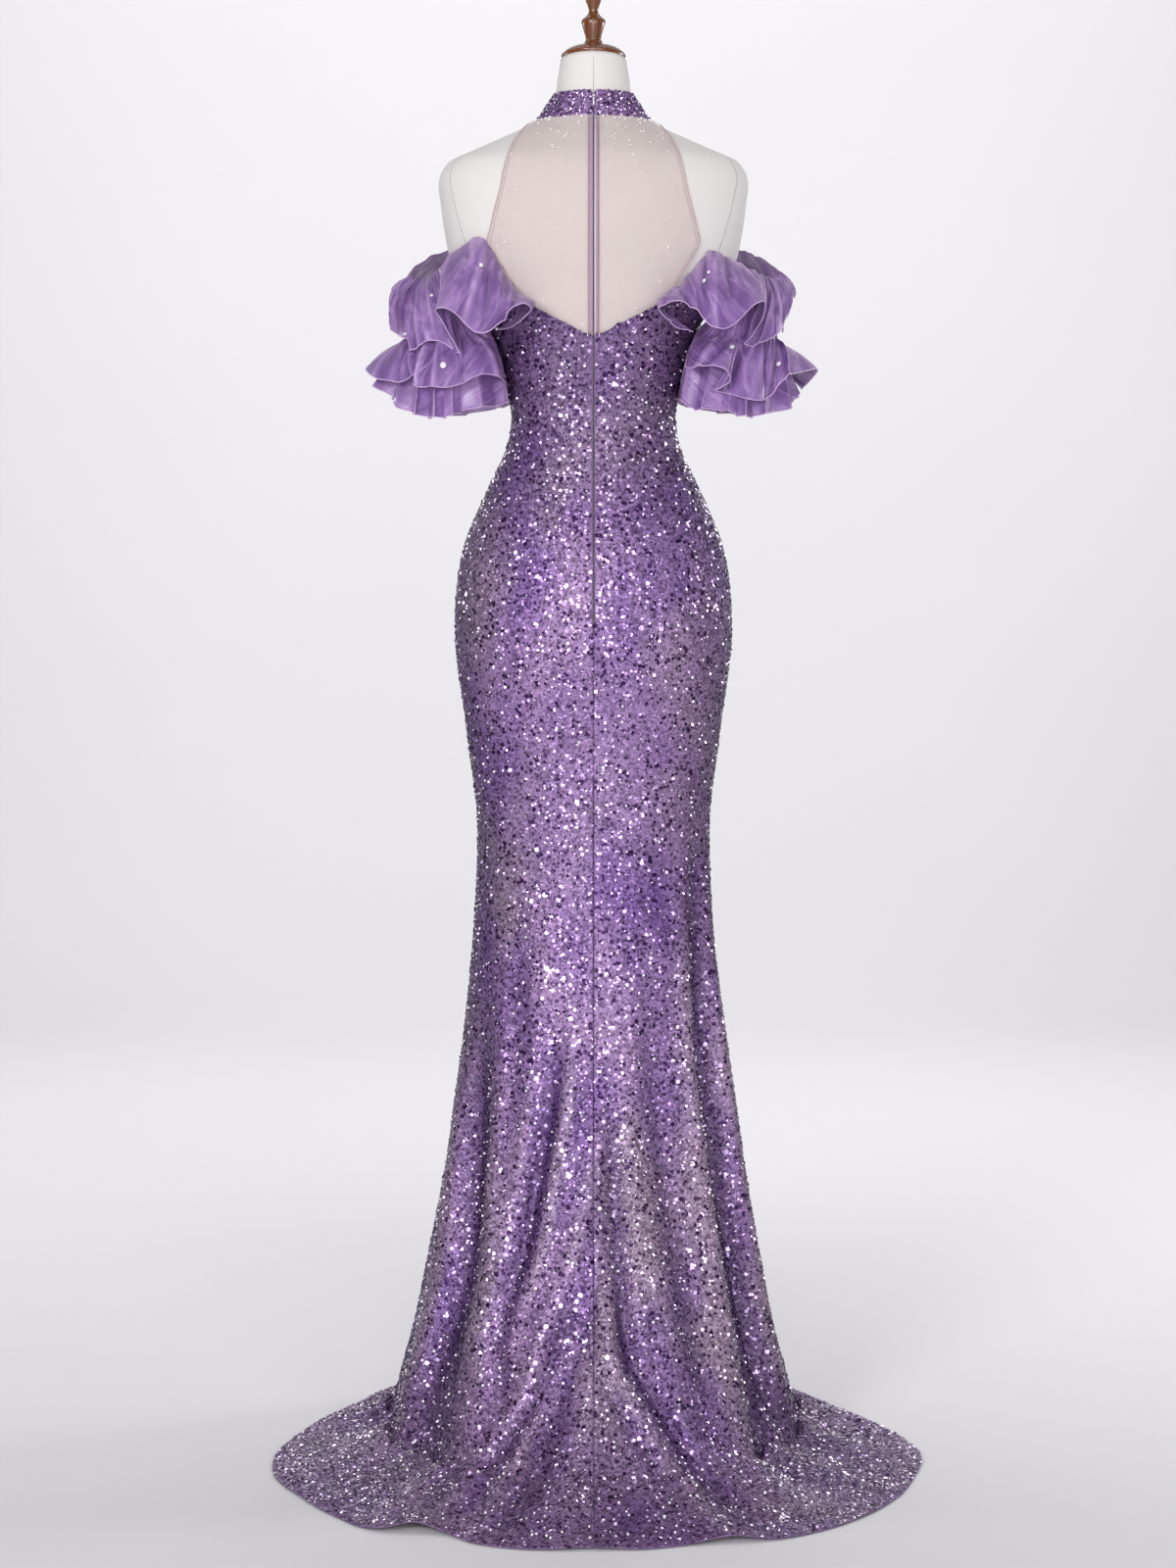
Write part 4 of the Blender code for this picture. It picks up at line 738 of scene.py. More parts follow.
def cut_of(grid, closed):
    """Width, length and area of the cloth in a grid."""
    across = np.roll(grid, -1, axis=1) - grid if closed else np.diff(grid, axis=1)
    down = np.diff(grid, axis=0)
    width = np.linalg.norm(across, axis=-1).sum(axis=1).max()
    length = np.linalg.norm(down, axis=-1).sum(axis=0).max()
    a, b, c, d = cell_corners(grid)
    area = np.linalg.norm(np.cross(c - a, b - d), axis=-1).sum() / 2.0
    if closed:
        area *= grid.shape[1] / (grid.shape[1] - 1.0)
    return float(width), float(length), float(min(area, width * length))


def declare_sheet(grid, closed):
    """Measures a sheet's flat size on its own grid, and keeps nothing of it."""
    width, length, area = cut_of(grid, closed)


def tube(name, path, radius, finish, sides=6, closed=False):
    """Piping, thread or wire of even thickness along a path of points."""
    path = np.asarray(path, float)
    if closed:
        along = np.roll(path, -1, axis=0) - np.roll(path, 1, axis=0)
    else:
        along = np.gradient(path, axis=0)
    along /= np.maximum(np.linalg.norm(along, axis=1, keepdims=True), 1e-12)
    side = np.cross(along, np.array([0.0, 0.0, 1.0]))
    flat = np.linalg.norm(side, axis=1) < 1e-3
    side[flat] = np.cross(along[flat], np.array([1.0, 0.0, 0.0]))
    for i in range(1, len(side)):
        if np.dot(side[i], side[i - 1]) < 0.0:
            side[i] *= -1.0
    side /= np.linalg.norm(side, axis=1, keepdims=True)
    rise = np.cross(side, along)
    angle = np.linspace(0.0, FULL_TURN, sides, endpoint=False)
    ring = side[:, None] * np.cos(angle)[None, :, None] + rise[:, None] * np.sin(angle)[None, :, None]
    points = path[:, None] + ring * radius
    count = len(path)
    flat_points = points.reshape(-1, 3)
    faces = grid_faces(count, sides, True)
    if closed:
        first = np.arange(sides)
        after = (first + 1) % sides
        last = (count - 1) * sides
        faces = np.concatenate([faces, np.stack([last + first, last + after, after, first], axis=-1)])
        made = faces
    else:
        ends = [np.arange(sides)[::-1], (count - 1) * sides + np.arange(sides)]
        made = [*faces, *ends]
    corner = flat_points[faces]
    middle = corner.mean(axis=1)
    nearest = path[faces[:, 0] // sides]
    normal = np.cross(corner[:, 1] - corner[:, 0], corner[:, 2] - corner[:, 0])
    if (normal * (middle - nearest)).sum() < 0.0:
        made = made[:, ::-1] if closed else [face[::-1] for face in made]
    piece = make_mesh(name, flat_points, made, finish)
    smooth(piece)
    return piece


def spots(grid, count, random):
    """Places spread evenly over a grid of cloth, with outward normals and the cells they lie in."""
    a, b, c, d = cell_corners(grid)
    normal = np.cross(c - a, b - d)
    area = np.linalg.norm(normal, axis=-1)
    total = np.cumsum(area.ravel())
    pick = np.searchsorted(total, (np.arange(count) + random.random(count)) / count * total[-1])
    pick = np.minimum(pick, area.size - 1)
    u, v = random.random((2, count, 1))
    a, b, c, d, normal = (x.reshape(-1, 3)[pick] for x in (a, b, c, d, normal))
    point = a * (1 - u) * (1 - v) + b * u * (1 - v) + c * u * v + d * (1 - u) * v
    normal = normal / np.linalg.norm(normal, axis=1, keepdims=True)
    outward = point.copy()
    outward[:, 2] = np.where(point[:, 2] < 0.05, 0.3, 0.0)
    return point, normal * np.sign((normal * outward).sum()), pick


def scatter_discs(name, grid, count, radius, tilt, lift, seed, keep=None, folds=None):
    """Flat sequins sewn over a grid of cloth, each with its own lean and tone."""
    random = np.random.default_rng(seed)
    point, normal, pick = spots(grid, count, random)
    deep = np.zeros(count) if folds is None else folds[:-1, :-1].ravel()[pick]
    if keep is not None:
        held = keep(point)
        point, normal, deep = point[held], normal[held], deep[held]
    count = len(point)
    side = np.cross(normal, random.normal(size=(count, 3)))
    side /= np.linalg.norm(side, axis=1, keepdims=True)
    other = np.cross(normal, side)
    tones = random.random(count)
    kinds = np.searchsorted(SEQUIN_KINDS, tones)
    loose = SEQUIN_LEANS[kinds][:, None]
    wide = SEQUIN_WIDTHS[kinds][:, None]
    across = np.abs(normal[:, 0])
    lean = random.normal(size=(count, 2)) * tilt * loose
    up = normal + side * lean[:, :1] + other * lean[:, 1:]
    up /= np.linalg.norm(up, axis=1, keepdims=True)
    side = np.cross(other, up)
    side /= np.linalg.norm(side, axis=1, keepdims=True)
    other = np.cross(up, side)
    size = radius * wide * (0.85 + 0.45 * random.random((count, 1)) ** 3)
    centre = point + normal * (lift + 0.5 * size * np.linalg.norm(lean, axis=1, keepdims=True))
    angle = np.arange(SEQUIN_SIDES) * FULL_TURN / SEQUIN_SIDES
    ring = side[:, None] * np.cos(angle)[None, :, None] + other[:, None] * np.sin(angle)[None, :, None]
    points = (centre[:, None] + ring * size[:, None]).reshape(-1, 3)
    piece = make_mesh(name, points, np.arange(count * SEQUIN_SIDES).reshape(-1, SEQUIN_SIDES), "sequins")
    # side and fold steer the painted shade on the gown's flanks and in its folds, and the painted highlight
    # on the crests.
    mark(piece, "FACE", tone=tones, side=across, fold=deep)
    return piece


def relief(rows, closed, reach):
    """How far each point of a flounce stands out of the cloth round it: 1 on a crest, -1 in a valley."""
    count = rows.shape[1]
    wide = np.pad(rows, ((0, 0), (reach, reach), (0, 0)), "wrap" if closed else "edge")
    level = np.mean([wide[:, k : k + count] for k in range(2 * reach + 1)], axis=0)
    normal = normals_of(rows, closed)
    away = rows - rows.mean(axis=1, keepdims=True)
    normal = normal * np.sign((normal * away * LEVEL).sum(axis=-1, keepdims=True) + 1e-12)
    return np.clip(((rows - level) * normal).sum(axis=-1) / DEEP_GATHER, -1.0, 1.0)


def mark(piece, domain, **numbers):
    """Stores numbers on a piece's points or faces, which its colour follows."""
    for name, values in numbers.items():
        kept = piece.data.attributes.new(name, "FLOAT", domain)
        kept.data.foreach_set("value", values.astype(np.float32))


class Value:
    """A number or colour on a socket, with shader maths written as Python does it."""

    def __init__(self, look, socket):
        self.look = look
        self.socket = socket

    def maths(self, operation, *values):
        """A Math node on the values, or on this value alone."""
        return self.look.add("ShaderNodeMath", {"operation": operation}, dict(enumerate(values or (self,))))

    def __add__(self, other):
        return self.maths("ADD", self, other)

    def __radd__(self, other):
        return self.maths("ADD", other, self)

    def __sub__(self, other):
        return self.maths("SUBTRACT", self, other)

    def __rsub__(self, other):
        return self.maths("SUBTRACT", other, self)

    def __mul__(self, other):
        return self.maths("MULTIPLY", self, other)

    def __rmul__(self, other):
        return self.maths("MULTIPLY", other, self)

    def __gt__(self, other):
        return self.maths("GREATER_THAN", self, other)

    def __lt__(self, other):
        return self.maths("LESS_THAN", self, other)


class Look:
    """A material that is built up around its Principled shader."""

    def __init__(self, name, roughness, metallic=0.0, **fixed):
        self.material = bpy.data.materials.new(name)
        self.material.use_nodes = True
        self.tree = self.material.node_tree
        self.shader = self.tree.nodes["Principled BSDF"]
        self.feed(Roughness=roughness, Metallic=metallic, **fixed)

    def add(self, kind, settings=None, inputs=None, output=0):
        """Adds a node: its settings are made first, then its sockets are set or linked."""
        node = self.tree.nodes.new(kind)
        for key, value in (settings or {}).items():
            if key == "stops":
                self.set_stops(node.color_ramp, value)
            else:
                setattr(node, key, value)
        for key, value in (inputs or {}).items():
            self.plug(node.inputs[key], value)
        return Value(self, node.outputs[output])

    def plug(self, socket, value):
        """Links a value to a socket, or sets the socket to it."""
        if isinstance(value, Value):
            self.tree.links.new(value.socket, socket)
        elif socket.type == "RGBA":
            socket.default_value = (*value, 1.0)
        else:
            socket.default_value = value

    def feed(self, **sockets):
        """Feeds the shader's sockets and gives the material back."""
        for key, value in sockets.items():
            self.plug(self.shader.inputs[key.replace("_", " ")], value)
        return self.material

    def set_stops(self, ramp, stops):
        """Gives a ramp stepped stops."""
        ramp.interpolation = "CONSTANT"
        while len(ramp.elements) > 1:
            ramp.elements.remove(ramp.elements[-1])
        ramp.elements[0].position = stops[0][0]
        ramp.elements[0].color = (*stops[0][1], 1.0)
        for position, colour in stops[1:]:
            ramp.elements.new(position).color = (*colour, 1.0)

    def place(self, scale=(1.0, 1.0, 1.0)):
        """Object coordinates, stretched by scale."""
        where = self.add("ShaderNodeTexCoord", output="Object")
        return self.add("ShaderNodeMapping", {}, {"Vector": where, "Scale": scale})

    def axis(self, letter):
        """How far the surface lies along an axis."""
        return self.add("ShaderNodeSeparateXYZ", {}, {"Vector": self.place()}, letter)

    def mark(self, name):
        """A number that the piece keeps at each point or face."""
        return self.add("ShaderNodeAttribute", {"attribute_name": name}, output="Fac")

    def noise(self, scale, detail=2.0, roughness=0.5, stretch=(1.0, 1.0, 1.0), **more):
        where = self.place(stretch)
        inputs = {"Vector": where, "Scale": scale, "Detail": detail, "Roughness": roughness, **more}
        return self.add("ShaderNodeTexNoise", {}, inputs)

    def ranged(self, value, low=0.0, high=1.0, least=0.0, most=1.0):
        """The value from low to high, as a number from least to most."""
        return self.add("ShaderNodeMapRange", {}, {"Value": value, 1: low, 2: high, 3: least, 4: most})

    def clamped(self, value):
        return self.add("ShaderNodeClamp", {}, {"Value": value})

    def mix(self, factor, first, second, blend="MIX"):
        settings = {"data_type": "RGBA", "blend_type": blend}
        return self.add("ShaderNodeMix", settings, {0: factor, 6: first, 7: second}, 2)

    def bump(self, height, strength, distance):
        return self.add("ShaderNodeBump", {}, {"Strength": strength, "Distance": distance, "Height": height})


LOOKS = {}


def look(name):
    """A finish by name, made the first time it is asked for."""
    if name not in LOOKS:
        LOOKS[name] = FINISHES[name]() if name in FINISHES else cloudy_look(name)
    return LOOKS[name]


def tint(colour, strength=1.0):
    """The colour, made lighter or darker by strength."""
    return tuple(strength * x for x in colour)


def sequin_zones(made, tone):
    """Colour of the sequinned net: broad soft patches, each sequin a little lighter or darker, some dark;
    painted shade on the flanks, in the fold valleys and down the train, painted highlight on the fold crests;
    darker over the upper bodice.
    """
    c = colours()
    patch = made.noise(9.0, 3.0, 0.55, (1.0, 1.0, 0.55))
    zone = made.mix(made.ranged(patch, 0.40, 0.68), c.sequin_light, c.sequin_violet)
    shade = made.noise(6.3, 2.0, 0.5, (1.0, 1.0, 0.45), Distortion=0.4)
    zone = made.mix(made.ranged(shade, 0.50, 0.68) * 0.75, zone, c.sequin_silver)
    # Painted shade: where the cloth turns sideways on the gown's flanks, the sequins darken towards deep
    # violet.
    painted_side_shade = made.ranged(made.mark("side"), 0.50, 1.0, most=0.80)
    zone = made.mix(painted_side_shade, zone, tint(c.sequin_violet, 0.45))
    # Painted shade in the skirt's fold valleys and painted highlight on their crests, by the fold depth kept
    # on each point.
    fold = made.mark("fold")
    painted_fold_shade = made.ranged(fold, 0.05, 0.80, most=0.75)
    crest = made.ranged(fold, -0.05, -0.60, most=0.45)
    zone = made.mix(painted_fold_shade, zone, tint(c.sequin_violet, 0.50))
    zone = made.mix(crest, zone, tint(c.sequin_silver, 1.35))
    height = made.axis("Z")
    collar = COLLAR_FOOT - 0.01
    # Darker over the upper bodice. Towards the floor the train darkens as painted shade, for the flat cloth
    # that gets less light.
    top = made.ranged(height, 1.06, 1.26, most=0.62)
    foot = made.ranged(height, 0.16, 0.03, most=0.55)
    zone = made.mix(top * (height < collar) + foot, zone, (0.148, 0.082, 0.192))
    zone = made.mix((height > collar) * 0.40, zone, (0.33, 0.16, 0.50))
    spread = made.ranged((tone * 37.0).maths("FRACT"), least=0.70, most=1.25)
    grey = made.add("ShaderNodeCombineColor", {}, {0: spread, 1: spread, 2: spread})
    even = made.mix(1.0, zone, grey, "MULTIPLY")
    stops = [(0.0, (1.0, 1.0, 1.0)), (0.09, (0.6, 0.6, 0.6)), (0.14, (0.0, 0.0, 0.0))]
    return made.mix(made.add("ShaderNodeValToRGB", {"stops": stops}, {"Fac": tone}), even, c.sequin_deep)


def sequin_look():
    """Sequins: matt dark ones, satin ones, and clear-coated ones that glint."""
    made = Look("sequins", 0.30, 0.4, Coat_Weight=1.0, Coat_Roughness=0.13)
    tone = made.mark("tone")
    bright = tone > SATIN_TONE
    return made.feed(
        Base_Color=sequin_zones(made, tone),
        Metallic=0.15 + 0.50 * bright + 0.75 * (tone < 0.16),
        Roughness=0.46 - 0.26 * bright,
        Coat_Weight=bright,
    )


def net_look():
    """The net under the sequins, dense with smaller ones."""
    made = Look("sequin_net", 0.45, 0.15)
    cells = made.add("ShaderNodeTexVoronoi", {}, {"Vector": made.place(), "Scale": 560.0}, "Color")
    tone = made.add("ShaderNodeSeparateColor", {}, {"Color": cells})
    spread = made.add("ShaderNodeVectorMath", {"operation": "SUBTRACT"}, {0: cells, 1: (0.5, 0.5, 0.5)})
    spread = made.add("ShaderNodeVectorMath", {"operation": "SCALE"}, {0: spread, "Scale": 0.60})
    normal = made.add("ShaderNodeNewGeometry", output="Normal")
    leaned = made.add("ShaderNodeVectorMath", {"operation": "ADD"}, {0: normal, 1: spread})
    leaned = made.add("ShaderNodeVectorMath", {"operation": "NORMALIZE"}, {0: leaned})
    return made.feed(Base_Color=sequin_zones(made, tone), Normal=leaned, Roughness=0.36 + 0.25 * tone)


def organza_look():
    """Crisp translucent organza with soft sheen; its colour holds cloudy painted light and shade, painted
    shade in the gathers' valleys, and painted highlight on their crests and on a few creases from seam to
    hem.
    """
    c = colours().organza
    light = colours().organza_light
    made = Look(
        "organza", 0.42, Sheen_Weight=0.80, Sheen_Roughness=0.25, Sheen_Tint=light,
        Coat_Weight=0.45, Coat_Roughness=0.24)
    cloth = made.add("ShaderNodeTexCoord", output="UV")
    along = made.add("ShaderNodeMapping", {}, {"Vector": cloth, "Scale": (1.0, 0.34, 1.0)})
    crease = made.add("ShaderNodeTexNoise", {}, {
        "Vector": along, "Scale": 30.0, "Detail": 3.0, "Roughness": 0.50, "Distortion": 0.6,
    })
    # Painted highlight: bright streaks along the creases from seam to hem, mixed into the base colour; alpha
    # and roughness follow them for real.
    ridge = made.clamped(1.0 - (crease - 0.5).maths("ABSOLUTE") * 14.0)
    # Painted light and shade: soft cloudy patches lighter and darker than the organza; the same cloud also
    # thins the cloth for real.
    cloud = made.noise(34.0, 5.0, 0.62)
    near = made.ranged(cloud, 0.34, 0.66)
    shade = made.mix(near, tint(c, 0.70), tint(c, 1.12))
    # Painted shade in the valleys of the gathers and painted highlight on their crests.
    fold = made.mark("fold")
    painted_fold_shade = made.ranged(fold, -0.02, -0.75, most=0.62)
    crest = made.ranged(fold, 0.18, 0.95, most=0.60)
    shade = made.mix(painted_fold_shade, shade, tint(c, 0.46))
    shade = made.mix(crest * (0.35 + 0.65 * near), shade, light)
    height = crease * 1.2 + cloud * 0.7 + made.noise(1100.0, 1.0) * 0.04
    return made.feed(
        Base_Color=made.mix(ridge * near * 0.50, shade, light),
        Alpha=0.82 - 0.20 * near + 0.10 * ridge,
        Roughness=0.46 - 0.18 * ridge,
        Normal=made.bump(height, 0.9, 0.0060),
    )


def tulle_look():
    """Sheer net: fine threads with open cells between them."""
    made = Look("tulle", 0.75, Sheen_Weight=0.35)
    c = colours().tulle
    cloud = made.noise(16.0, 3.0)
    mesh = made.add(
        "ShaderNodeTexVoronoi", {"feature": "DISTANCE_TO_EDGE"}, {"Vector": made.place(), "Scale": 1100.0})
    thread = made.clamped(1.0 - mesh * 9.0)
    return made.feed(
        Base_Color=made.mix(cloud, tint(c, 0.88), c),
        Alpha=settings().tulle_cover + 0.16 * thread + 0.10 * (cloud - 0.5),
        Normal=made.bump(cloud, 0.2, 0.002),
    )


def linen_look():
    """The form's cover: a plain weave with slubs, flecks and a little soil."""
    made = Look("form_linen", 0.82, Sheen_Weight=0.15)
    c = colours().linen
    weave = made.noise(1400.0, 2.0, 0.5, (1.0, 1.0, 0.5))
    slub = made.noise(260.0, 3.0, 0.6, (1.0, 1.0, 0.25))
    fleck = made.clamped((made.noise(520.0, 1.0) - 0.70) * 8.0)
    base = made.mix(made.noise(6.0, 3.0), tint(c, 0.93), c)
    base = made.mix(slub * 0.12, base, tint(c, 0.78))
    base = made.mix(fleck * 0.35, base, tint(c, 0.55))
    return made.feed(Base_Color=base, Normal=made.bump(weave + slub * 0.6, 0.35, 0.0004))


def wood_look():
    """Varnished turned wood with upright grain and pores."""
    made = Look("turned_wood", 0.34, Coat_Weight=0.45, Coat_Roughness=0.10)
    c = colours().wood
    grain = made.add(
        "ShaderNodeTexWave",
        {"wave_type": "BANDS", "bands_direction": "X", "wave_profile": "SAW"},
        {
            "Vector": made.place((1.0, 1.0, 0.16)), "Scale": 60.0, "Distortion": 7.0, "Detail": 4.0,
            "Detail Scale": 1.6,
        },
    )
    pore = made.noise(600.0, 4.0, 0.7, (1.0, 1.0, 0.08))
    tone = made.mix(grain, tint(c, 0.45), c)
    tone = made.mix(pore * 0.45, tone, tint(c, 0.30))
    return made.feed(Base_Color=tone, Roughness=0.26 + 0.14 * pore, Normal=made.bump(pore, 0.15, 0.0004))


def iron_look():
    """Cast iron under satin black paint, rubbed here and there."""
    made = Look("stand_iron", 0.42, 0.9)
    rub = made.noise(30.0, 3.0)
    return made.feed(
        Base_Color=made.mix(rub, (0.030, 0.030, 0.034), (0.075, 0.073, 0.074)),
        Roughness=0.34 + 0.22 * rub,
        Normal=made.bump(made.noise(380.0, 4.0, 0.6), 0.25, 0.0005),
    )


def tape_look():
    """Ribbed zip tape, thinner towards its outer edge."""
    made = Look("zip_tape", 0.55, Sheen_Weight=0.4)
    c = colours().tape
    rib = made.add("ShaderNodeTexWave", {"bands_direction": "Z"}, {"Vector": made.place(), "Scale": 420.0})
    thin = made.ranged(made.axis("X").maths("ABSOLUTE"), 0.003, TAPE_EDGE, most=0.55)
    return made.feed(
        Base_Color=made.mix(rib, tint(c, 0.80), c), Alpha=0.92 - thin, Normal=made.bump(rib, 0.4, 0.0003))


def cloudy_look(name):
    """A smooth finish that wanders between two colours, its roughness rising by its wear."""
    c = colours()
    light = tint(c.organza_light)
    edge = tint(c.tulle_edge)
    seam = tint(c.linen, 0.62)
    tooth = (0.045, 0.020, 0.075)
    floor = tint(bpy.context.scene.gown_studio.floor)
    roughness, wear, scale, detail, dark, bright, fixed = {
        "organza_edge": (0.35, 0.0, 120.0, 2.0, tint(light, 0.75), light, {"Sheen_Weight": 0.5}),
        "tulle_edge": (0.60, 0.0, 150.0, 2.0, tint(edge, 0.80), edge, {"Alpha": 0.80}),
        "form_seam": (0.85, 0.0, 300.0, 2.0, tint(seam, 0.75), seam, {}),
        # Painted highlight: a light lavender, glossy strip for the right tape's turned edge beside the
        # groove.
        "tape_fold": (0.28, 0.0, 200.0, 2.0, (0.62, 0.50, 0.68), (0.80, 0.70, 0.85), {"Coat_Weight": 0.5}),
        # Painted shade: the cloth lips beside the zip are dark violet for the shaded groove between them.
        "zip_lip": (0.45, 0.0, 200.0, 2.0, (0.14, 0.075, 0.19), (0.25, 0.14, 0.33), {"Sheen_Weight": 0.3}),
        "zip_teeth": (0.55, 0.0, 500.0, 2.0, tint(tooth, 0.60), tooth, {"Coat_Weight": 0.1}),
        "silver": (0.26, 0.20, 900.0, 3.0, (0.34, 0.33, 0.37), (0.58, 0.57, 0.61), {"Metallic": 1.0}),
        "crystal": (
            0.03, 0.04, 700.0, 1.0, (0.92, 0.86, 0.96), (1.0, 0.98, 1.0),
            {"Metallic": 0.20, "Coat_Weight": 1.0, "Coat_Roughness": 0.02}),
        "clear_bead": (
            0.05, 0.05, 900.0, 1.0, (0.90, 0.84, 0.93), (1.0, 0.98, 1.0),
            {"Coat_Weight": 1.0, "Coat_Roughness": 0.03}),
        "studio_floor": (0.62, 0.0, 1.5, 3.0, tint(floor, 0.97), floor, {}),
    }[name]
    made = Look(name, roughness)
    cloud = made.noise(scale, detail)
    if wear:
        made.feed(Roughness=roughness + wear * cloud)
    return made.feed(Base_Color=made.mix(cloud, dark, bright), **fixed)


FINISHES = {
    "sequins": sequin_look, "sequin_net": net_look, "organza": organza_look, "tulle": tulle_look,
    "form_linen": linen_look, "turned_wood": wood_look, "stand_iron": iron_look, "zip_tape": tape_look,
}


def clear_selection():
    for other in bpy.context.view_layer.objects:
        other.select_set(False)


def stands_for(piece, node):
    """Hides the model's node that a piece replaces."""
    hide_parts(node)


def finish_piece(piece, finish, body="gown"):
    """Gives a modelled piece its finish and its body."""
    piece.data.materials.clear()
    piece.data.materials.append(look(finish))
    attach(piece, body)
    return piece


def drawn_line(name, points):
    """A new piece in edit mode that is only a line through the points, all selected."""
    clear_selection()
    bpy.ops.mesh.primitive_plane_add(size=0.01)
    piece = bpy.context.object
    piece.name = name
    bpy.ops.object.mode_set(mode="EDIT")
    work = bmesh.from_edit_mesh(piece.data)
    bmesh.ops.delete(work, geom=list(work.verts), context="VERTS")
    line = [work.verts.new(point) for point in points]
    for ends in zip(line, line[1:]):
        work.edges.new(ends)
    for part in [*work.verts, *work.edges]:
        part.select_set(True)
    bmesh.update_edit_mesh(piece.data)
    return piece


def point_outwards():
    """Turns all faces of the piece in edit mode outwards and leaves edit mode."""
    bpy.ops.mesh.select_all(action="SELECT")
    bpy.ops.mesh.remove_doubles(threshold=0.00002)
    bpy.ops.mesh.normals_make_consistent(inside=False)
    bpy.ops.object.mode_set(mode="OBJECT")


def turned(name, profile, columns, finish, node):
    """A turned piece: its profile of heights and radii is spun round the upright axis."""
    piece = drawn_line(name, [(max(radius, 0.0), 0.0, z) for z, radius in profile])
    bpy.ops.mesh.spin(steps=columns, angle=FULL_TURN, center=(0.0, 0.0, 0.0), axis=(0.0, 0.0, 1.0))
    point_outwards()
    smooth(piece)
    finish_piece(piece, finish)
    stands_for(piece, node)
    return piece


def rounded_profile(table, steps):
    """The profile through a table's rows, rounded between them and closed on the axis."""
    fine = smooth_loop(table, steps, False)
    return [(table[0, 0], 0.0), *map(tuple, fine), (table[-1, 0], 0.0)]


def build_torso():
    """The form's body, its neck's rim leaning down towards the front."""
    columns = 120
    turns = np.arange(columns) * 360.0 / columns
    heights = np.concatenate([
        np.linspace(FORM[0, 0], COLLAR_TOP, 10), np.linspace(1.6300, 1.5600, 24),
        np.linspace(1.5550, 1.3500, 44), np.linspace(1.3420, FORM[-1, 0], 60),
    ])
    rings = []
    for z in heights:
        ring = ring_point(FORM, turns, np.full(columns, z), -between(SLACK, z, 1))
        if z > COLLAR_TOP:
            ring[:, 2] -= CAP_TILT * ring[:, 1] * ease_in((z - COLLAR_TOP) / 0.02)
        rings.append(ring)
    top, foot = (ring.mean(axis=0) for ring in (rings[0], rings[-1]))
    inner = [top + (rings[0] - top) * part for part in (0.05, 0.6)]
    under = [foot + (rings[-1] - foot) * part for part in (0.6, 0.05)]
    rows = np.array([*inner, *rings, *under])
    count = len(rows) * columns
    caps = [np.arange(columns)[::-1], count - columns + np.arange(columns)]
    faces = [*grid_faces(len(rows), columns, True), *caps]
    piece = make_mesh("form_body", rows.reshape(-1, 3), faces, "form_linen")
    clear_selection()
    bpy.context.view_layer.objects.active = piece
    bpy.ops.object.mode_set(mode="EDIT")
    point_outwards()
    smooth(piece)
    stands_for(piece, "form_torso")


def form_line(name, stations, radius, out, side=1.0):
    """A seam on the form along stations of turn and height, standing a little prouder on the neck."""
    line = smooth_loop(stations, 60, False)
    height = line[:, 1]
    path = ring_point(FORM, side * line[:, 0], height, out + 0.0007 * ease_in((height - 1.640) / 0.006))
    slack = between(SLACK, height, 1)
    path[:, :2] *= (1.0 - slack / np.linalg.norm(path[:, :2], axis=1))[:, None]
    tube("form_seam_" + name, path, radius, "form_seam")


def build_form_seams():
    """The form's shoulder, armhole, back and front seams."""
    for word, side in (("left", -1.0), ("right", 1.0)):
        form_line("shoulder_" + word, SHOULDER_SEAM, 0.00050, -0.0001, side)
        form_line("armhole_back_" + word, ARMHOLE_SEAM, 0.00050, -0.0001, side)
        form_line("armhole_front_" + word, ARMHOLE_FRONT, 0.00050, -0.0001, side)
    form_line("back", BACK_SEAM, 0.00045, 0.0002)
    form_line("front", FRONT_SEAM, 0.00045, -0.0001)


def build_stand():
    """The turned neck cap and finial, the pole with its sockets, and the round base."""
    cap = turned("form_neck_cap", rounded_profile(CAP, 40), 72, "turned_wood", "neck_cap")
    for vertex in cap.data.vertices:
        reach = math.hypot(vertex.co.x, vertex.co.y)
        vertex.co.z -= CAP_TILT * vertex.co.y * (reach / CAP_REACH) ** 3
    cap.data.update()
    turned("form_finial", rounded_profile(FINIAL, 120), 48, "turned_wood", "finial")
    top = FORM[-1, 0] - SEAM
    foot = BASE_RISE + SEAM
    collar = POLE_RADIUS + 0.004
    pole = [
        (foot, 0.0), (foot, POLE_SOCKET - 0.001), (foot + 0.001, POLE_SOCKET), (foot + 0.028, POLE_SOCKET),
        (foot + 0.032, POLE_SOCKET - 0.003), (foot + 0.036, POLE_RADIUS), (foot + 0.300, POLE_RADIUS),
        (foot + 0.302, collar), (foot + 0.330, collar), (foot + 0.332, POLE_RADIUS),
        (top - 0.020, POLE_RADIUS), (top - 0.012, POLE_SOCKET), (top - 0.001, POLE_SOCKET),
        (top, POLE_SOCKET - 0.001), (top, 0.0),
    ]
    turned("form_pole", pole, 40, "stand_iron", "stand_pole")
    base = [
        (0.0, 0.0), (0.0, BASE_RADIUS - 0.0015), (0.0015, BASE_RADIUS), (BASE_EDGE - 0.002, BASE_RADIUS),
        (BASE_EDGE, BASE_RADIUS - 0.004), (0.0105, 0.140), (0.0125, 0.110), (0.0150, 0.080),
        (0.0185, 0.050), (BASE_RISE - 0.001, 0.033), (BASE_RISE, 0.030), (BASE_RISE, 0.0),
    ]
    turned("form_base", base, 96, "stand_iron", "stand_base")


PANELS = {}


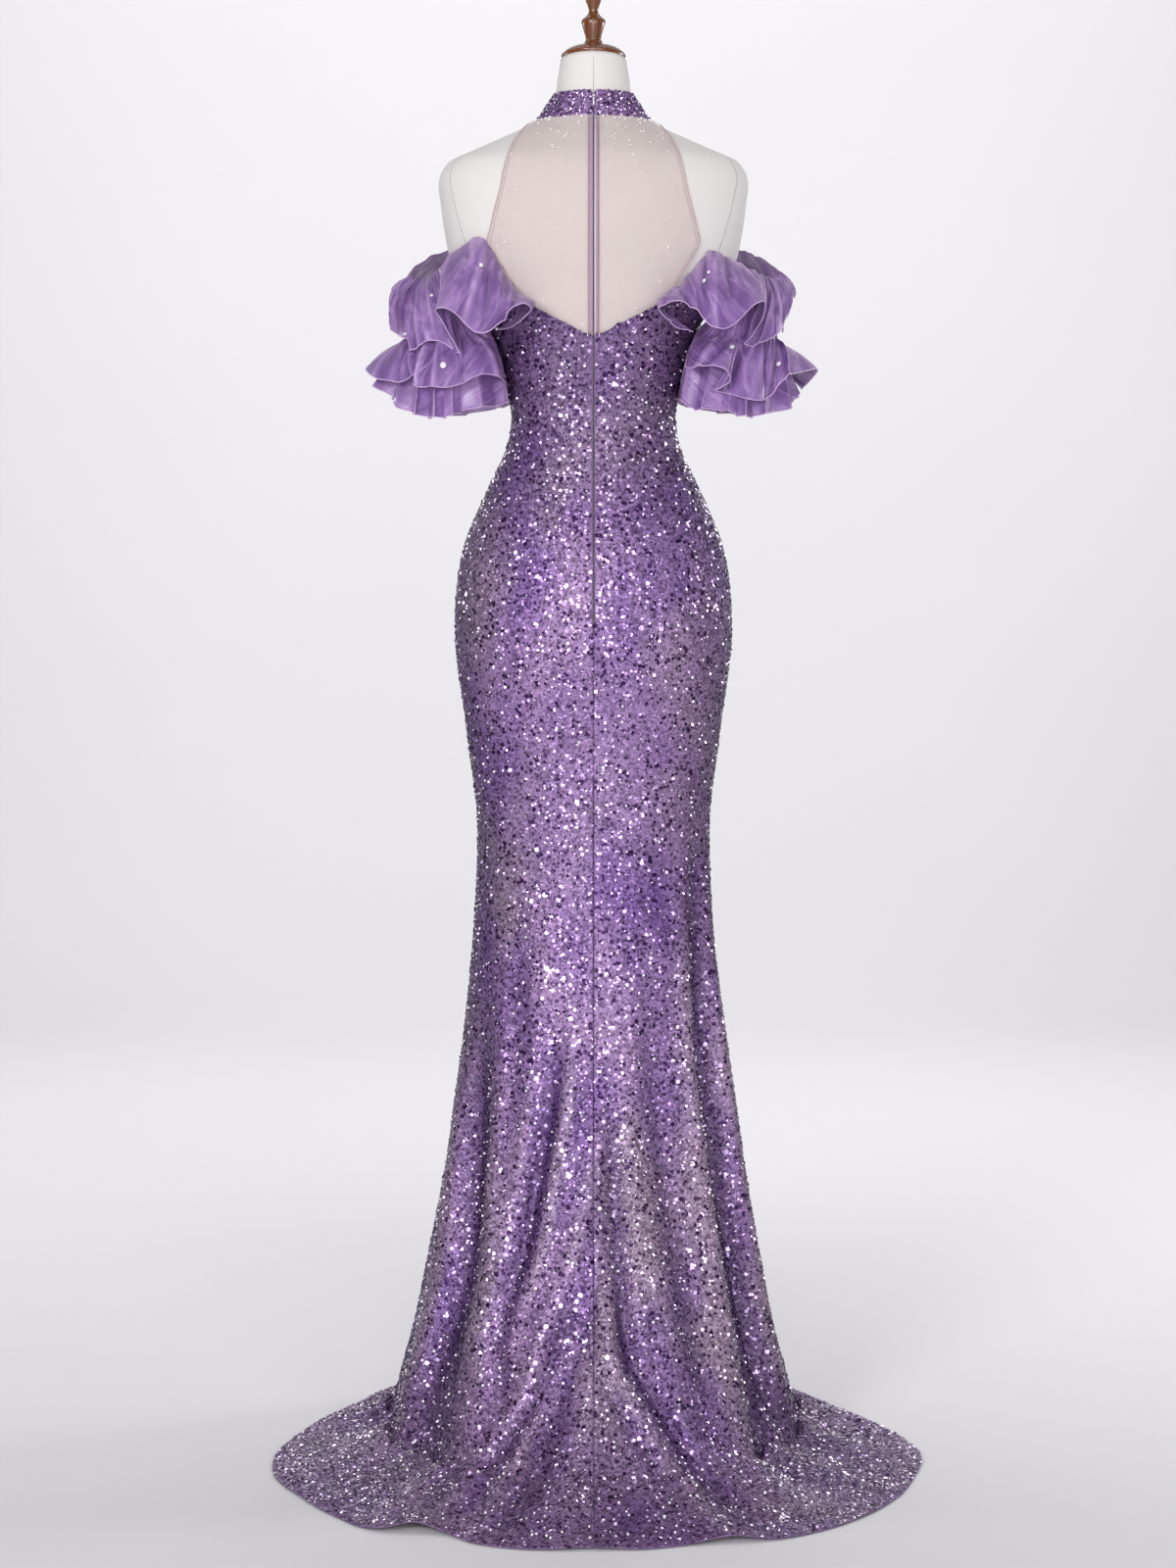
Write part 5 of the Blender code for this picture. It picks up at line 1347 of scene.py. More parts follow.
def build_panels():
    """The gown's two fronts and two backs, which meet edge to edge."""
    back = np.linspace(0.0, 90.0, BACK_COLUMNS)
    front = np.linspace(90.0, 180.0, FRONT_COLUMNS)
    halves = {"back_right": back, "back_left": -back, "front_right": front, "front_left": -front}
    for node, turns in halves.items():
        outside = panel_grid(turns)
        normal = normals_of(outside, False) * -np.sign(turns[1] - turns[0])
        inside = outside - normal * SEQUIN_WALL * NET_SHARE
        floor_rows = TRAIN_STEPS + 2
        inside[-floor_rows:, :, 2] = np.maximum(inside[-floor_rows:, :, 2], FOOT)
        side = np.sign(turns[-1])
        facing = 1.0 if node.startswith("front") else -1.0
        for grid in (outside, inside):
            for column in (0, -1):
                if abs(turns[column]) < 1.0:
                    grid[:, column, 0] = side * np.where(grid[:, column, 2] > ZIP_END, ZIP_GROOVE, SEAM / 2.0)
                elif abs(turns[column]) > 179.0:
                    grid[:, column, 0] = side * SEAM / 2.0
                else:
                    grid[:, column, 1] = facing * SEAM / 2.0
        outside[:, 0] -= normal[:, 1] * SEAM_DIP
        outside[:, -1] -= normal[:, -2] * SEAM_DIP
        piece = shell("gown_" + node, outside, inside, False, "sequin_net")
        folds = panel_folds(turns)
        normals = np.empty(len(piece.data.vertices) * 3, dtype=np.float32)
        piece.data.vertices.foreach_get("normal", normals)
        # side and fold steer the painted shade on the gown's flanks and in its folds, and the painted
        # highlight on the crests.
        mark(piece, "POINT", side=np.abs(normals.reshape(-1, 3)[:, 0]), fold=np.tile(folds.ravel(), 2))
        stands_for(piece, node)
        PANELS[node] = piece, outside, folds


def clear_of_zip(point):
    """True for sequins that stay off the zip and the centre back seam."""
    edge = np.where(point[:, 2] > ZIP_END, 0.0034, 0.0014)
    return np.abs(point[:, 0]) > np.where(point[:, 1] > 0.0, 0.0010, edge)


def build_sequins():
    """Sequins over every gown panel, a denser row along the neckline, and round beads between them."""
    s = settings()
    for seed, (node, (piece, grid, folds)) in enumerate(PANELS.items(), 11):
        sewn = [
            scatter_discs(
                "sequins_" + node, grid, s.sequins_a_panel, s.sequin_size / 2.0, s.sequin_lean, 0.0005, seed,
                clear_of_zip, folds),
            scatter_discs("neckline_" + node, grid[:2], 260, 0.0013, 0.5, 0.0009, seed + 30, clear_of_zip),
            build_beads("beads_" + node, *gown_spots(grid, 900, 0.0010, 0.0021, seed + 60, clear_of_zip)),
        ]
        declare_sheet(grid, False)


def lay_net(name, node, turns, z, edges):
    """A sheet of tulle on the form; each edge has its name, its column, its distance out and its radius."""
    outside = ring_point(FORM, turns, z, YOKE_EASE + NET_WALL)
    piece = shell(name, outside, ring_point(FORM, turns, z, YOKE_EASE), False, "tulle")
    for edge, column, out, radius in edges:
        path = ring_point(FORM, turns[:, column], z[:, column], YOKE_EASE + NET_WALL + out)
        tube(edge, path, radius, "tulle_edge")
    stands_for(piece, node)
    declare_sheet(outside, False)
    return outside


def yoke_rows(table, parts, front, drop):
    """Turns and heights of a yoke's points; its lowest rows, drop of all, ease on to the neckline."""
    turn_rows = []
    z_rows = []
    for i, (centre_z, edge_x, edge_z) in enumerate(smooth_loop(table, YOKE_STEPS, False)):
        start = 180.0 if front else turn_at(TAPE_EDGE - 0.0008, centre_z, YOKE_EASE)
        end = turn_at(edge_x, edge_z, YOKE_EASE)
        turn = start + (end if front else end - start) * parts
        z = centre_z + (edge_z - centre_z) * (parts**2 if front else parts)
        neck = between(NECKLINE, 180.0 - np.abs(turn - 180.0), 1) + YOKE_GAP * 0.4
        turn_rows.append(turn)
        z_rows.append(z + (neck - z) * ease_in((i - YOKE_STEPS * (1.0 - drop)) / (YOKE_STEPS * drop - 1.0)))
    return np.array(turn_rows), np.array(z_rows)


def build_yoke():
    """The sheer yoke with its fine edging, and the clear beads sewn on it."""
    for word, side in (("right", 1.0), ("left", -1.0)):
        turns, z = yoke_rows(YOKE_BACK, np.linspace(0.0, 1.0, 50), False, 0.20)
        edge = "yoke_edge_" + word
        edges = ((edge + "_0", -1, 0.0004, 0.00042), (edge + "_1", -3, 0.0003, 0.00027))
        outside = lay_net("yoke_back_net_" + word, "yoke_back_" + word, side * turns, z, edges)
        build_beads("yoke_beads_" + word, *yoke_spots(outside, 58, 71 + int(side)))
    turns, z = yoke_rows(YOKE_FRONT, np.linspace(-1.0, 1.0, 90), True, 0.38)
    edges = (("yoke_front_edge_0", 0, 0.0004, 0.00055), ("yoke_front_edge_1", -1, 0.0004, 0.00055))
    lay_net("yoke_front_net", "yoke_front", turns, z, edges)


def yoke_spots(grid, count, seed):
    """Places and sizes of the yoke's beads, closer together under the collar."""
    random = np.random.default_rng(seed)
    rows, columns = grid.shape[:2]
    point = np.empty((count, 3))
    for i in range(count):
        high = i < count * 0.62
        r = random.random() ** (2.0 if high else 1.0) * (0.26 if high else 0.94)
        c = random.random() * 0.92 + 0.04
        point[i] = grid[int(r * (rows - 1)), int(c * (columns - 1))]
    away = point * LEVEL
    return point, away / np.linalg.norm(away, axis=1)[:, None], 0.0008 + 0.0006 * random.random((count, 1))


def gown_spots(grid, count, least, most, seed, keep=None):
    """Places and sizes of beads spread over sequinned cloth, most of them small."""
    random = np.random.default_rng(seed)
    point, normal, _ = spots(grid, count, random)
    radius = least + (most - least) * random.random((count, 1)) ** 3
    held = slice(None) if keep is None else keep(point)
    return point[held], normal[held], radius[held]


def copies(name, middles, scales, finish):
    """One piece of copies of the active shape, which is then removed, each copy at its middle and scale."""
    shape = bpy.context.object
    ball = np.array([v.co[:] for v in shape.data.vertices])
    faces = [np.array(p.vertices[:]) for p in shape.data.polygons]
    bpy.data.objects.remove(shape)
    points = (middles[:, None] + ball * scales[:, None]).reshape(-1, 3)
    made = [face + i * len(ball) for i in range(len(middles)) for face in faces]
    return make_mesh(name, points, made, finish)


def build_beads(name, point, away, radius):
    """Round glass beads, sewn on at points of the cloth."""
    clear_selection()
    bpy.ops.mesh.primitive_ico_sphere_add(subdivisions=1, radius=1.0)
    piece = copies(name, point + away * radius * 0.8, radius, "clear_bead")
    smooth(piece)
    return piece


def build_collar():
    """The band collar, open in a small notch over the zip, covered with sequins."""
    columns = 150
    notch_foot = COLLAR_TOP - NOTCH_DEPTH
    rows = np.array([
        (COLLAR_TOP, 0.35), (COLLAR_TOP - 0.0008, 0.8), (COLLAR_TOP - 0.0025, 1.0), (COLLAR_TOP - 0.005, 1.0),
        (notch_foot, 1.0), (1.6230, 1.0), (1.6180, 1.0), (1.6130, 1.0), (1.6085, 1.0),
        (COLLAR_FOOT + 0.0012, 0.85), (COLLAR_FOOT, 0.4),
    ])
    turns = []
    for z in rows[:, 0]:
        gap = ZIP_GROOVE + (COLLAR_NOTCH - ZIP_GROOVE) * np.clip((z - notch_foot) / NOTCH_DEPTH, 0.0, 1.0)
        start = turn_at(gap, z, COLLAR_EASE + COLLAR_WALL)
        turns.append(np.linspace(start, 360.0 - start, columns))
    z, full = (np.repeat(rows[:, k : k + 1], columns, axis=1) for k in (0, 1))
    outside = ring_point(FORM, np.array(turns), z, COLLAR_EASE + COLLAR_WALL * full)
    inside = ring_point(FORM, np.array(turns), z, COLLAR_EASE)
    piece = shell("collar_band", outside, inside, False, "sequin_net")
    s = settings()
    sewn = [
        scatter_discs("sequins_collar", outside, 3800, s.sequin_size * 0.34, s.sequin_lean * 1.6, 0.0004, 21),
        build_beads("beads_collar", *gown_spots(outside, 150, 0.0008, 0.0015, 24)),
    ]
    stands_for(piece, "collar")
    declare_sheet(outside, False)


def build_zip():
    """Zip tapes with their turned edges and hems, the lips of cloth below them, and the interlocked teeth."""
    heights = np.linspace(TAPE_TOP, TAPE_FOOT, 60)
    low = np.concatenate([np.linspace(1.3360, WAIST, 40), np.linspace(WAIST - 0.004, ZIP_END, 60)])
    for word, side in (("right", 1.0), ("left", -1.0)):
        left, right = sorted((side * ZIP_GROOVE, side * TAPE_EDGE))
        depth = ring_point(FORM, np.zeros(60), heights, YOKE_EASE)[:, 1]
        across = np.array([left, (left + right) / 2.0, right])
        inner = np.stack(np.broadcast_arrays(across, depth[:, None], heights[:, None]), axis=-1)
        tape = shell("tape_" + word, inner - (0.0, TAPE_WALL, 0.0), inner, False, "zip_tape")
        fold = ring_point(FORM, np.zeros(60), heights, YOKE_EASE + TAPE_WALL + 0.0002)
        fold[:, 0] = side * (ZIP_GROOVE + 0.0008)
        hem = ring_point(FORM, np.zeros(60), heights, YOKE_EASE + TAPE_WALL + 0.0001)
        hem[:, 0] = side * (TAPE_EDGE - 0.0004)
        lip = skirt_point(np.full(len(low), BESIDE_SEAM), low)
        lip[:, 0] = side * (ZIP_GROOVE + 0.0006)
        for made in (
            # Only the right fold gets the light painted highlight; the left keeps the tape's own colour.
            tube("tape_fold_" + word, fold, 0.0008, "tape_fold" if side > 0.0 else "zip_tape"),
            tube("tape_hem_" + word, hem, 0.0003, "tulle_edge"),
            # Dark violet lips: painted shade of the groove down the zip.
            tube("zip_lip_" + word, lip, 0.0006, "zip_lip"),
        ):
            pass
        stands_for(tape, "zip_tape_" + word)
    count = int((COIL_TOP - ZIP_END) / TOOTH_PITCH)
    z = COIL_TOP - TOOTH_PITCH * (np.arange(count) + 0.5)
    back = ring_point(FORM, np.zeros(count), z, YOKE_EASE + TAPE_WALL * 0.5)[:, 1]
    sewn_in = z <= TAPE_FOOT
    back[sewn_in] = skirt_point(np.full(sewn_in.sum(), BESIDE_SEAM), z[sewn_in])[:, 1] + 0.0009
    side = np.tile([-1.0, 1.0], count)
    z = np.repeat(z, 2) + side * TOOTH_PITCH * 0.25
    clear_selection()
    bpy.ops.mesh.primitive_cube_add(size=1.0)
    bpy.ops.object.mode_set(mode="EDIT")
    bpy.ops.mesh.select_all(action="SELECT")
    bpy.ops.mesh.bevel(offset=0.18, segments=1, affect="EDGES")
    bpy.ops.object.mode_set(mode="OBJECT")
    middles = np.stack([side * 0.00028, np.repeat(back, 2), z], axis=1)
    teeth = copies("zip_teeth", middles, np.array([[0.0009, 0.0008, 0.0011]]), "zip_teeth")
    stands_for(teeth, "zip_coil")


def plate(name, half_width, high, low, near, far, body, node):
    """A small metal plate lying along the collar, waisted, with rounded corners and edges."""
    top, foot = collar_back(high), collar_back(low)
    clear_selection()
    bpy.ops.mesh.primitive_cube_add(size=1.0)
    piece = bpy.context.object
    piece.name = name
    bpy.ops.object.mode_set(mode="EDIT")
    bpy.ops.mesh.select_all(action="SELECT")
    bpy.ops.transform.resize(value=(2.0 * half_width, far - near, high - low))
    bpy.ops.mesh.subdivide(number_cuts=3)
    bpy.ops.object.mode_set(mode="OBJECT")
    for vertex in piece.data.vertices:
        share = (vertex.co.z + (high - low) / 2.0) / (high - low)
        pinch = 1.0 - 0.28 * math.sin(math.pi * min(max(share, 0.0), 1.0))
        across = abs(vertex.co.x) / half_width
        corner = 1.0 - 0.35 * across**4 * (2.0 * abs(share - 0.5)) ** 6
        vertex.co.x *= pinch * corner
        vertex.co.y += top + (foot - top) * (1.0 - share) - (near + far) / 2.0
        vertex.co.z = low + (high - low) * share
    bevel = piece.modifiers.new("soften", "BEVEL")
    bevel.width = 0.00018
    bevel.segments = 2
    bevel.limit_method = "ANGLE"
    bpy.context.view_layer.objects.active = piece
    bpy.ops.object.modifier_apply(modifier=bevel.name)
    smooth(piece)
    stands_for(finish_piece(piece, "silver", body), node)


def build_zip_ends():
    """The slider, its pull tab, and the hook and eye over them."""
    face = SEAM + SLIDER_THICK
    plate("slider", SLIDER_HALF, SLIDER_TOP, SLIDER_TOP - SLIDER_LENGTH, SEAM, face, "gown", "zip_slider")
    near = face + PULL_CLEAR
    high = PULL_PIVOT + PULL_HEAD
    plate("pull_tab", PULL_HALF, high, high - PULL_LENGTH, near, near + PULL_THICK, "pull", "zip_pull")
    y = collar_back(COLLAR_TOP) - 0.0004
    turn = np.linspace(0.0, FULL_TURN, 22, endpoint=False)
    ring = np.stack([np.cos(turn), np.zeros(22), np.sin(turn)], axis=1)
    eye = np.array([0.0022, y - 0.0006, 1.6322]) + 0.0013 * ring
    hook = np.array([0.0, y, 0.0]) + sizes([
        (-4.2, 0, 1633), (-2, -0.8, 1633.1), (0.4, -1.4, 1633), (1.6, -1.6, 1632.6),
        (1.2, -1.3, 1631.8), (-0.4, -0.9, 1631.7), (-2, -0.5, 1631.6), (-4, 0, 1631.6),
    ])
    tube("collar_eye", eye, 0.00038, "silver", 8, True)
    tube("collar_hook", smooth_loop(hook, 40, False), 0.00042, "silver", 8)


def with_folds(table, folds):
    """A flounce's stations with extra hem folds: each takes the seam at its place along the table."""
    rows = dict(enumerate(table))
    for place, *hem in folds:
        seam = [np.interp(place, np.arange(len(table)), table[:, k]) for k in range(3)]
        rows[place] = np.array([*seam, *hem])
    return np.array([rows[place] for place in sorted(rows)])


def set_folds(rows, closed, folds):
    """Moves cloth along its normal by crisp folds, each with a place, lean, width, depth, start and end."""
    count = rows.shape[1]
    part = np.linspace(0.0, 1.0, rows.shape[0])[:, None]
    place = np.linspace(0.0, 1.0, count, endpoint=not closed)[None, :]
    shift = np.zeros(rows.shape[:2])
    for middle, lean, width, depth, start, end in folds:
        away = place - middle - lean * (part - start)
        if closed:
            away = (away + 0.5) % 1.0 - 0.5
        held = ease_in((part - start + 0.10) / 0.16) * (1.0 - ease_in((part - end + 0.18) / 0.24))
        crest = np.exp(-((np.abs(away) / width) ** 1.25)) - 0.30 * np.exp(-((away / width / 2.6) ** 2))
        shift = shift + depth * held * crest
    return rows + normals_of(rows, closed) * shift[..., None]


def gathers(seed, length, seam_folds, hem_folds, seam_depth, hem_depth):
    """Uneven gathers that start at the seam, and softer folds that run into the hem."""
    random = np.random.default_rng(seed)
    made = []
    for i in range(seam_folds):
        middle = (i + random.random() * 0.9) / seam_folds
        end = 0.35 + 0.85 * random.random() ** 1.2
        width = (0.0028 + 0.0042 * random.random()) / length
        depth = seam_depth * (0.35 + 0.95 * random.random()) * (1.0 if random.random() < 0.8 else -0.8)
        made.append((middle, random.normal() * 0.020, width, depth, 0.0, end))
    for i in range(hem_folds):
        middle = (i + random.random() * 0.8) / hem_folds
        start = 0.10 + 0.35 * random.random()
        width = (0.0060 + 0.0070 * random.random()) / length
        depth = hem_depth * (0.4 + 0.9 * random.random()) * (1.0 if random.random() < 0.6 else -1.0)
        made.append((middle, random.normal() * 0.04, width, depth, start, 1.4))
    return made


SLEEVES = []


def flounce_shell(name, rows, closed, node):
    """Organza with its thin wall and a fine rolled hem."""
    half = normals_of(rows, closed) * ORGANZA_WALL * ORGANZA_SHARE / 2.0
    piece = shell(name, rows + half, rows - half, closed, "organza")
    # fold steers the painted shade in the gathers' valleys and the painted highlight on their crests.
    mark(piece, "POINT", fold=np.tile(relief(rows, closed, 9).ravel(), 2))
    hem = tube(name + "_hem", rows[-1], settings().rolled_hem / 2.0, "organza_edge", 6, closed)
    stands_for(piece, node)
    declare_sheet(rows, closed)
    SLEEVES.append(piece)


def build_upper(word, side, table, seed):
    """The flounce from the neckline's corner round the arm to the front."""
    count = 440
    seam = seated(smooth_loop(table[:, :3], count, False), GOWN_OUT + SEAM + ORGANZA_WALL / 2.0)
    hem = smooth_loop(table[:, 3:], count, False)
    middle = np.array([side * 0.170, 0.0, 1.40])
    rows = flounce_rows(seam, hem, np.linspace(0.0, 1.0, 52), FLOUNCE_SWELL, middle)
    rows = set_folds(rows, False, gathers(seed, 0.62, 32, 14, 0.0042, 0.0042))
    flounce_shell("flounce_upper_" + word, rows, False, "sleeve_" + word + "_upper")


def to_bodice(rows, side, reach):
    """Brings the inner side of a frill in to the bodice, against which it rests."""
    bodice = ring_point(FORM, np.full(rows.shape[:2], 90.0), rows[..., 2], GOWN_OUT)[..., 0] + 0.0012
    across = side * rows[..., 0]
    near = ease_in((0.160 - across) / 0.035) * ease_in(np.linspace(0.0, 2.2, len(rows)))[:, None]
    moved = np.maximum(across - reach * near, np.minimum(across, bodice))
    rows[..., 0] = side * np.where(near > 0.0, moved, across)
    return rows


def arm_middle(side):
    """Middle of the arm inside the lower flounces."""
    return np.array([side * ARM_BAND[-1, 1], -ARM_BAND[-1, 2], 1.30])


def build_over(word, side, table, seed):
    """The gathered over-frill, its seam hidden under the upper flounce."""
    hem = smooth_loop(table, 400, True)
    turns = even_turns(hem, side)
    seam = band_ring(ARM_BAND[-1], side, turns, FRILL_CLEAR)
    top = band_ring(ARM_BAND[0] + (ARM_BAND[-1] - ARM_BAND[0]) * 0.25, side, turns, FRILL_CLEAR)
    upper = [top + (seam - top) * part for part in np.linspace(0.0, 1.0, 14)[:-1]]
    lower = flounce_rows(seam, hem, np.linspace(0.0, 1.0, 34), FRILL_SWELL, arm_middle(side))
    rows = set_folds(np.concatenate([upper, lower]), True, gathers(seed, 0.62, 36, 15, 0.0030, 0.0044))
    rows = to_bodice(rows, side, 0.010)
    flounce_shell("frill_over_" + word, rows, True, "sleeve_" + word + "_over")


def build_under(word, side, table, seed):
    """The arm band with the pleated under-frill below it."""
    count = PLEATS * 28
    middle = arm_middle(side)
    hem = smooth_loop(table, count, True)
    turns = even_turns(hem, side)
    band = [band_ring(row, side, turns, 0.0) for row in ARM_BAND]
    away = (hem - middle) * LEVEL
    away = away / np.linalg.norm(away, axis=1, keepdims=True)
    clear = 0.35 + 0.65 * ease_in((side * hem[:, 0] - 0.125) / 0.03)
    random = np.random.default_rng(seed)
    turn = FULL_TURN * np.arange(count) / count
    phase = PLEATS * np.arange(count) / count + 0.22 * np.sin(turn * 3.0 + seed)
    depth = 0.70 + 0.75 * random.random(PLEATS)
    depth = np.interp(phase % PLEATS, np.arange(PLEATS + 1), np.append(depth, depth[0]))
    wave = np.cos(FULL_TURN * phase)
    upper = [band[0] + (band[1] - band[0]) * part for part in np.linspace(0.0, 1.0, 14)]
    parts = np.linspace(0.0, 1.0, 30)[1:]
    lower = flounce_rows(band[1], hem, parts, 0.0, middle)
    grow = ((0.25 + 0.75 * parts) * ease_in(parts / 0.3))[:, None]
    lower = lower + away * (1.90 * PLEAT_DEPTH * grow * (clear * wave * depth))[..., None]
    along = np.stack([-away[:, 1], away[:, 0], np.zeros(count)], axis=1)
    along = along * np.sign((along * np.gradient(hem, axis=0)).sum(axis=1, keepdims=True))
    tuck = clear * depth * np.sin(2.0 * FULL_TURN * phase)
    lower = lower - along * (PLEAT_TUCK * grow * tuck)[..., None]
    lower[:, :, 2] += PLEAT_LIFT * parts[:, None] ** 3 * (wave * depth)
    rows = set_folds(np.concatenate([upper, lower]), True, gathers(seed + 1, 0.50, 22, 9, 0.0008, 0.0016))
    rows = to_bodice(rows, side, 0.016)
    flounce_shell("frill_under_" + word, rows, True, "sleeve_" + word + "_under")


def build_sleeves():
    """Both off-shoulder sleeves: upper flounce, over-frill and pleated under-frill."""
    for word, side, upper, over, under, seed in (
        ("left", -1.0, with_folds(LEFT_UPPER, LEFT_FOLDS), LEFT_OVER, LEFT_UNDER, 40),
        ("right", 1.0, with_folds(RIGHT_UPPER, RIGHT_FOLDS), RIGHT_OVER, RIGHT_UNDER, 60),
    ):
        build_upper(word, side, upper, seed)
        build_over(word, side, over, seed + 3)
        build_under(word, side, under, seed + 6)


def cut_stone(name, width):
    """A round-cut stone: a flat table, a crown and a pointed foot, turned to face +Z."""
    clear_selection()
    bpy.ops.mesh.primitive_cylinder_add(vertices=12, radius=width / 2.0, depth=width * 0.10)
    stone = bpy.context.object
    stone.name = name
    bpy.ops.object.mode_set(mode="EDIT")
    for way, inset, rise in ((1.0, 0.20, 0.16), (-1.0, 0.42, 0.30)):
        bpy.ops.mesh.select_all(action="DESELECT")
        work = bmesh.from_edit_mesh(stone.data)
        for face in work.faces:
            face.select_set(face.normal.z * way > 0.9)
        bmesh.update_edit_mesh(stone.data)
        bpy.ops.mesh.inset(thickness=width * inset, depth=width * rise)
    bpy.ops.object.mode_set(mode="OBJECT")
    return stone


def seen_on(trees, eye, x, z):
    """Place and normal of the nearest cloth seen at x and z, looking further in if it is missed."""
    for inwards in np.arange(0.0, 0.020, 0.001):
        aim = (Vector((x * (1.0 - inwards / abs(x)), 0.0, z)) - eye).normalized()
        hits = [hit for hit in (tree.ray_cast(eye, aim) for tree in trees) if hit[0] is not None]
        if hits:
            place, normal, _, _ = min(hits, key=lambda hit: hit[3])
            return place, normal if normal.dot(aim) <= 0.0 else -normal
    raise RuntimeError("a crystal lies on no flounce")


def build_crystals():
    """Crystals on the flounces, each seated on the organza where it is seen from behind."""
    trees = []
    for piece in SLEEVES:
        points = [vertex.co[:] for vertex in piece.data.vertices]
        trees.append(BVHTree.FromPolygons(points, [face.vertices[:] for face in piece.data.polygons]))
    for i, (x, z, width) in enumerate(CRYSTALS):
        place, normal = seen_on(trees, Vector(CAMERA_PLACE), x, z)
        stone = cut_stone("crystal_" + str(i), width)
        turn = normal.to_track_quat("Z", "Y").to_matrix()
        for vertex in stone.data.vertices:
            vertex.co = turn @ vertex.co + place + normal * width * 0.26
        stone.data.update()
        finish_piece(stone, "crystal")
        rim = []
        for a in np.arange(20) * FULL_TURN / 20:
            local = turn @ Vector((math.cos(a) * width * 0.52, math.sin(a) * width * 0.52, 0.0))
            rim.append((local + place + normal * width * 0.22)[:])
        tube("crystal_cup_" + str(i), rim, width * 0.06, "silver", 6, True)


def area_lamp(name, place, aim, energy, **shape):
    """An area lamp at a place, turned to its aim."""
    lamp = bpy.data.lights.new(name, "AREA")
    lamp.energy = energy
    for key, value in shape.items():
        setattr(lamp, key, value)
    holder = bpy.data.objects.new(name, lamp)
    holder.location = place
    holder.rotation_euler = (Vector(aim) - Vector(place)).to_track_quat("-Z", "Y").to_euler()
    bpy.context.scene.collection.objects.link(holder)


def build_stage():
    """Pale floor and backdrop, soft lights, small bright lights for the sequins, and the camera."""
    scene = bpy.context.scene
    studio = scene.gown_studio
    ground = drawn_line("studio_floor", [(-9.0, -9.0, 0.0), (9.0, -9.0, 0.0)])
    sweep = (0.0, studio.sweep_from, studio.sweep_radius)
    bpy.ops.mesh.extrude_region_move(TRANSFORM_OT_translate={"value": (0.0, 9.0 + studio.sweep_from, 0.0)})
    bpy.ops.mesh.spin(steps=40, angle=math.radians(-90.0), center=sweep, axis=(1.0, 0.0, 0.0))
    bpy.ops.mesh.extrude_region_move(TRANSFORM_OT_translate={"value": (0.0, 0.0, 5.0)})
    bpy.ops.object.mode_set(mode="OBJECT")
    ground.data.materials.append(look("studio_floor"))
    smooth(ground)
    scene.view_settings.view_transform = "Standard"
    scene.world = scene.world or bpy.data.worlds.new("studio")
    scene.world.use_nodes = True
    sky = scene.world.node_tree.nodes["Background"]
    sky.inputs["Color"].default_value = (*studio.sky, 1.0)
    sky.inputs["Strength"].default_value = studio.sky_strength
    for name, place, size, power in LIGHTS:
        area_lamp(name, place, (0.0, 0.0, 0.95), power * studio.light_level, shape="DISK", size=size)
    area_lamp(
        "backdrop", (0.0, 1.6, 4.6), (0.0, 5.8, 1.6), studio.backdrop_level,
        shape="RECTANGLE", size=6.0, size_y=1.0)
    camera = bpy.data.cameras.new("view")
    camera.sensor_fit = "VERTICAL"
    camera.sensor_height = 24.0
    camera.lens = 50.0
    holder = bpy.data.objects.new("view", camera)
    holder.location = CAMERA_PLACE
    holder.rotation_euler = (math.radians(90.0 - CAMERA_TILT), 0.0, 0.0)
    scene.collection.objects.link(holder)
    scene.camera = holder


def colour(name, description, default):
    return bpy.props.FloatVectorProperty(
        name=name, description=description, subtype="COLOR", size=3, default=default)


class GownSettings(bpy.types.PropertyGroup):
    """Sizes of the gown's fine parts."""

    sequin_size: bpy.props.FloatProperty(
        name="Sequin size", description="Width of a sequin", default=0.0033, min=0.001, max=0.01,
        unit="LENGTH")
    sequin_lean: bpy.props.FloatProperty(
        name="Sequin lean", description="How far sequins lean off the cloth", default=0.24, min=0.0, max=1.0)
    sequins_a_panel: bpy.props.IntProperty(
        name="Sequins a panel", description="Number of sequins on each gown panel", default=46000, min=1000,
        max=49000)
    tulle_cover: bpy.props.FloatProperty(
        name="Tulle cover", description="How much the tulle hides what is behind it", default=0.22, min=0.0,
        max=1.0)
    rolled_hem: bpy.props.FloatProperty(
        name="Rolled hem", description="Thickness of the flounces' rolled hem", default=0.0012, unit="LENGTH")


class GownColours(bpy.types.PropertyGroup):
    """Colours of the gown and its form."""

    sequin_light: colour("Lilac sequins", "Most of the sequins", (0.36, 0.215, 0.435))
    sequin_deep: colour("Dark sequins", "The darkest sequins", (0.035, 0.012, 0.065))
    sequin_violet: colour("Violet sequins", "Deep violet sequins", (0.19, 0.090, 0.32))
    sequin_silver: colour("Silver sequins", "Champagne and silver sequins", (0.33, 0.25, 0.32))
    organza: colour("Organza", "Body colour of the flounces", (0.255, 0.120, 0.40))
    # Also the colour of the organza's painted highlights on creases and crests, besides its real sheen tint
    # and rolled hem.
    organza_light: colour("Organza light", "Shine and edges of the flounces", (0.64, 0.42, 0.75))
    tulle: colour("Tulle", "Sheer net of the yoke", (0.76, 0.645, 0.62))
    tulle_edge: colour("Tulle edge", "Edging of the yoke", (0.60, 0.42, 0.43))
    tape: colour("Zip tape", "Zip tape", (0.47, 0.33, 0.43))
    linen: colour("Form cloth", "Cloth of the dress form", (0.70, 0.67, 0.66))
    wood: colour("Wood", "Turned and varnished wood", (0.22, 0.066, 0.016))


